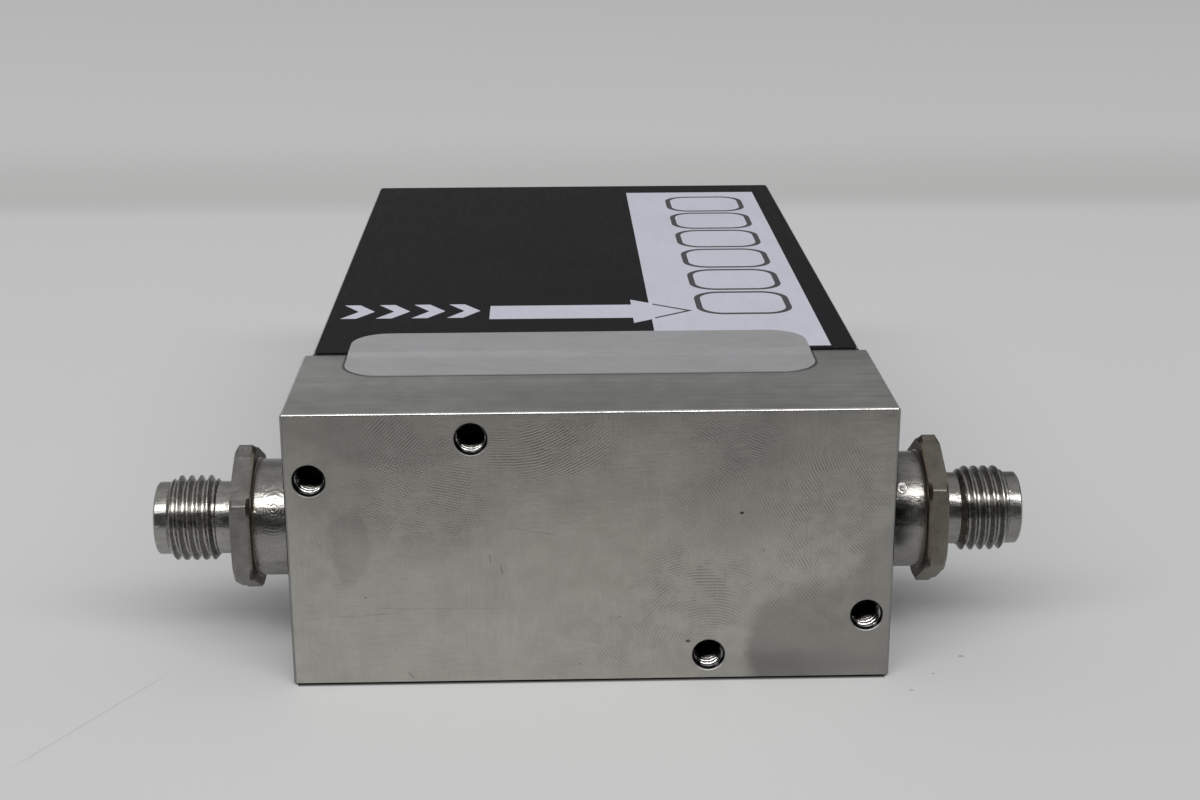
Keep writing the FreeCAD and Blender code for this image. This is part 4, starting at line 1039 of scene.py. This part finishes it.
def make_hole_thread(name, x, z, material):
    """The thread in a tapped hole: a thin helical lining on the hole's wall."""
    steps = round(hole_thread_depth / hole_thread_pitch * hole_thread_samples)
    angles = [TURN * step / hole_segments for step in range(hole_segments)]
    wall = hole_radius - hole_wall_gap
    outer = hole_radius + hole_wall_embed

    def at_depth(depth):
        def at(angle):
            phase = depth / hole_thread_pitch - angle / TURN
            ridge = thread_profile(phase, wall, hole_minor_radius)
            return max(ridge, wall - depth / hole_run_in)
        return at

    depths = [hole_thread_depth * step / steps for step in range(steps + 1)]
    rings = [(depth, at_depth(depth)) for depth in depths]
    rings += [(hole_thread_depth, outer), (0.1, outer)]

    def around(depth, radius, angle):
        y = mount_face + hole_thread_start + depth
        return (x + radius * math.cos(angle), y, z + radius * math.sin(angle))

    vertices, faces = ring_loop(rings, angles, around)
    made = piece_from("hole_thread_" + name, vertices, faces, material, "meter")


# Floor, backdrop and light.
floor_reach = 3.0
far_band = (270.0, 292.0)
far_shade_near_side = (262.0, 290.0)
far_shade_far_side = (400.0, 296.0)
floor_scratch = ((-69.4, -34.5), (-54.2, -7.6), 0.25)
floor_specks = (((48.7, -7.0), 0.35), ((40.4, -16.5), 0.25), ((44.0, -12.0), 0.2))


def floor_material():
    """Pale table top, a little darker behind a soft line of painted shade, with a painted contact shadow
    under the block, a few specks and one faint scratch.
    """
    tree, place = new_material("pale_floor")
    x, y, _ = tree.parts(place)
    across = tree.joined(x, y, 0.0)
    cloud = tree.noise(place, 0.006, 3.0)
    far = tree.spread(y, *far_band)
    # Painted shade: a soft darker band far behind, where a backdrop would meet the table.
    painted_far_shade = tree.times(tree.spread(y, *far_shade_near_side), tree.spread(y, *far_shade_far_side))
    colour = tree.mix(cloud, (0.539, 0.543, 0.551), (0.551, 0.554, 0.561))
    colour = tree.mix(far, colour, (0.545, 0.547, 0.549))
    colour = tree.over(colour, (0.33, 0.33, 0.325), painted_far_shade, 0.35)
    marks = scratch(tree, across, *floor_scratch)
    colour = tree.over(colour, (0.28, 0.27, 0.26), marks, 0.25)
    for spot, size in floor_specks:
        here = ellipse(tree, across, spot, (size, size * 0.8), 0.5)
        colour = tree.over(colour, (0.10, 0.09, 0.08), here, 0.5)
    # Painted contact shadow under the block, showing along its edges.
    painted_contact_shadow = tree.times(
        tree.spread(tree.absolute(y), -mount_face + 0.45, -mount_face - 0.1),
        tree.below(tree.absolute(x), side_face - 0.5),
    )
    colour = tree.over(colour, (0.03, 0.03, 0.028), painted_contact_shadow, 0.85)
    fine = tree.noise(place, 1.0, 2.0)
    rough = tree.add(0.54, tree.times(cloud, 0.02))
    return tree.finish(colour, rough, tree.bump(fine, 0.01, 0.2), Specular_IOR_Level=0.2)


def plane(name, low_corner, high_corner, height, material):
    """A flat stage piece, its corners in metres."""
    mesh = bpy.data.meshes.new(name)
    (x0, y0), (x1, y1) = low_corner, high_corner
    corners = [(x0, y0, height), (x1, y0, height), (x1, y1, height), (x0, y1, height)]
    mesh.from_pydata(corners, [], [(0, 1, 2, 3)])
    made = linked(name, mesh, material)
    return made


card_near = -0.078
card_far = -0.60
card_half_width = 0.8
card_soft_edge = (0.012, -0.045)
card_height = 0.0004


def card_material():
    """A dark card with a soft near edge: painted shade standing in for what stands in front of the table,
    seen only in reflections.
    """
    tree, place = new_material("painted_shade_card")
    card = tree.fill(tree.node("ShaderNodeBsdfDiffuse"), Color=grey(0.05))
    clear = tree.node("ShaderNodeBsdfTransparent")
    start, end = [(card_near + step) / MM for step in card_soft_edge]
    share = tree.spread(tree.parts(place)[1], start, end)
    return tree.surface(tree.node("ShaderNodeMixShader", share, clear.outputs[0], card.outputs[0]))


def make_stage():
    plane("floor", (-floor_reach, -floor_reach), (floor_reach, floor_reach), 0.0, floor_material())
    near_corner = (-card_half_width, card_far)
    far_corner = (card_half_width, card_near + 0.02)
    card = plane("painted_shade_card", near_corner, far_corner, card_height, card_material())
    # Only reflections see the painted shade card.
    card.visible_camera = False
    card.visible_diffuse = False
    card.visible_shadow = False
    card.visible_transmission = False


key_elevation = 52.0
key_distance = 5.0
key_size = (11.0, 1.2)
key_power = 345.0


def make_key():
    data = bpy.data.lights.new("key", "AREA")
    data.shape = "RECTANGLE"
    data.size, data.size_y = key_size
    data.energy = key_power
    data.color = (1.0, 0.995, 0.98)
    made = bpy.data.objects.new("key", data)
    rise = math.radians(key_elevation)
    middle = Vector((0.0, 0.0, flow_z * MM))
    made.location = middle + key_distance * Vector((0.0, -math.cos(rise), math.sin(rise)))
    made.rotation_mode = "QUATERNION"
    made.rotation_quaternion = (middle - made.location).to_track_quat("-Z", "Y")
    bpy.context.collection.objects.link(made)


ceiling_light = 0.53
far_side_light = 0.27
far_side_slope = 0.30
left_right_light = 0.36
near_dark = 0.06
seen_background = 0.50


def make_world():
    """Soft light by direction: a bright ceiling, mid sides and a darker side behind the camera."""
    world = bpy.data.worlds.new("world")
    bpy.context.scene.world = world
    tree = Tree(world)
    direction = tree.node("ShaderNodeTexCoord").outputs["Generated"]
    x, y, z = tree.parts(direction)
    near = tree.spread(y, 0.15, -0.45)
    far = tree.spread(y, 0.1, 0.7)
    far_level = tree.minus(far_side_light, tree.times(x, far_side_slope))
    around = tree.blend(far, left_right_light, far_level)
    around = tree.blend(near, around, near_dark)
    above = tree.spread(z, 0.50, 0.90)
    level = tree.blend(above, around, ceiling_light)
    light = tree.fill(tree.node("ShaderNodeBackground"), Color=grey(1.0), Strength=level)
    seen = tree.fill(tree.node("ShaderNodeBackground"), Color=grey(seen_background), Strength=1.0)
    camera_ray = tree.node("ShaderNodeLightPath").outputs["Is Camera Ray"]
    choice = tree.node("ShaderNodeMixShader", camera_ray, light.outputs[0], seen.outputs[0])
    tree.surface(choice, "ShaderNodeOutputWorld")


def paint(material, *names):
    """Gives CAD nodes their material."""
    for name in names:
        mesh = nodes[name].data
        if not mesh.materials:
            mesh.materials.append(material)
        for index in range(len(mesh.materials)):
            mesh.materials[index] = material


def paint_nodes():
    """Every node that keeps its own shape gets its finish."""
    paint(block_steel(), "base_block")
    paint(sheet_metal("sensor_base_steel", grey(0.56, 0.015), 0.34), "sensor_base")
    paint(sheet_metal("case_metal", grey(0.58, 0.0), 0.36, (6.0, 0.1, 6.0), 0.16, joint_face), "case")
    paint(label_film("label_black", (0.0095, 0.0095, 0.0108), 0.55, 0.08, 0.20, 0.22), "face_label")
    paint(label_film("label_white", (0.49, 0.50, 0.578), 0.5, 0.2, 0.05), "label_white_print")
    paint(label_film("label_grey", (0.055, 0.055, 0.06), 0.5, 0.2, 0.10), "label_grey_print")
    paint(seal_film(), "seal_sticker")
    rubber = moulded("seal_rubber", grey(0.018), 0.5)
    paint(rubber, "inlet_seal_ring", "outlet_seal_ring", "sensor_port_rings")
    paint(woven_mesh(), "inlet_screen")
    paint(plated("element_steel", grey(0.58, 0.02), 0.22), "bypass_element")
    paint(plated("spring_steel", grey(0.34, 0.02), 0.26), "element_retaining_ring")
    paint(plated("capillary_steel", grey(0.62, 0.02), 0.18), "sensor_tube")
    winding_wire = wound("winding_wire", (0.48, 0.17, 0.05), 0.12, 0.25, 0.6)
    paint(winding_wire, "upstream_winding", "downstream_winding")
    paint(sheet_metal("cover_metal", grey(0.60, 0.0), 0.30), "sensor_cover")
    paint(wound("lead_wire", (0.45, 0.40, 0.12), 0.5, 0.4), "sensor_leads")
    paint(moulded("terminal_plastic", (0.03, 0.10, 0.06), 0.45), "sensor_header")
    paint(sheet_metal("bracket_sheet", (0.60, 0.56, 0.44), 0.36), "board_bracket")
    screw_steel = plated("screw_steel", grey(0.55, 0.015), 0.24)
    paint(screw_steel, "sensor_screws", "bracket_screws", "board_screws", "case_screws", "jack_nuts")
    paint(plated("jack_plating", (0.60, 0.57, 0.50), 0.22), "board_standoffs", "jack_posts")
    paint(board_laminate(), "main_board")
    paint(moulded("chip_plastic", grey(0.018), 0.5), "amplifier_chips")
    paint(moulded("can_sleeve", (0.012, 0.02, 0.07), 0.35), "electrolytic_capacitors")
    paint(moulded("film_box", (0.42, 0.12, 0.015), 0.4), "film_capacitors")
    paint(banded_resistor(), "resistors")
    paint(moulded("regulator_plastic", grey(0.02), 0.45), "voltage_regulator")
    paint(plated("connector_plating", (0.58, 0.56, 0.50), 0.24), "connector_shell")
    paint(moulded("insulator_plastic", grey(0.016), 0.45), "connector_insulator")
    paint(plated("pin_plating", (0.80, 0.56, 0.20), 0.18), "connector_pins")
    paint(moulded("trimmer_plastic", (0.02, 0.07, 0.22), 0.4), "zero_trimmer_body")
    paint(plated("rotor_metal", (0.62, 0.50, 0.26), 0.25), "zero_adjust_rotor")


make_camera()
make_stage()
make_key()
make_world()
paint_nodes()
turned_steel = fitting_steel()
make_fitting("inlet_fitting", -1, turned_steel)
make_fitting("outlet_fitting", 1, turned_steel)
cut_steel = thread_steel()
for hole_place in hole_places:
    make_hole_thread(*hole_place, cut_steel)

scene = bpy.context.scene
scene.view_settings.view_transform = "Standard"
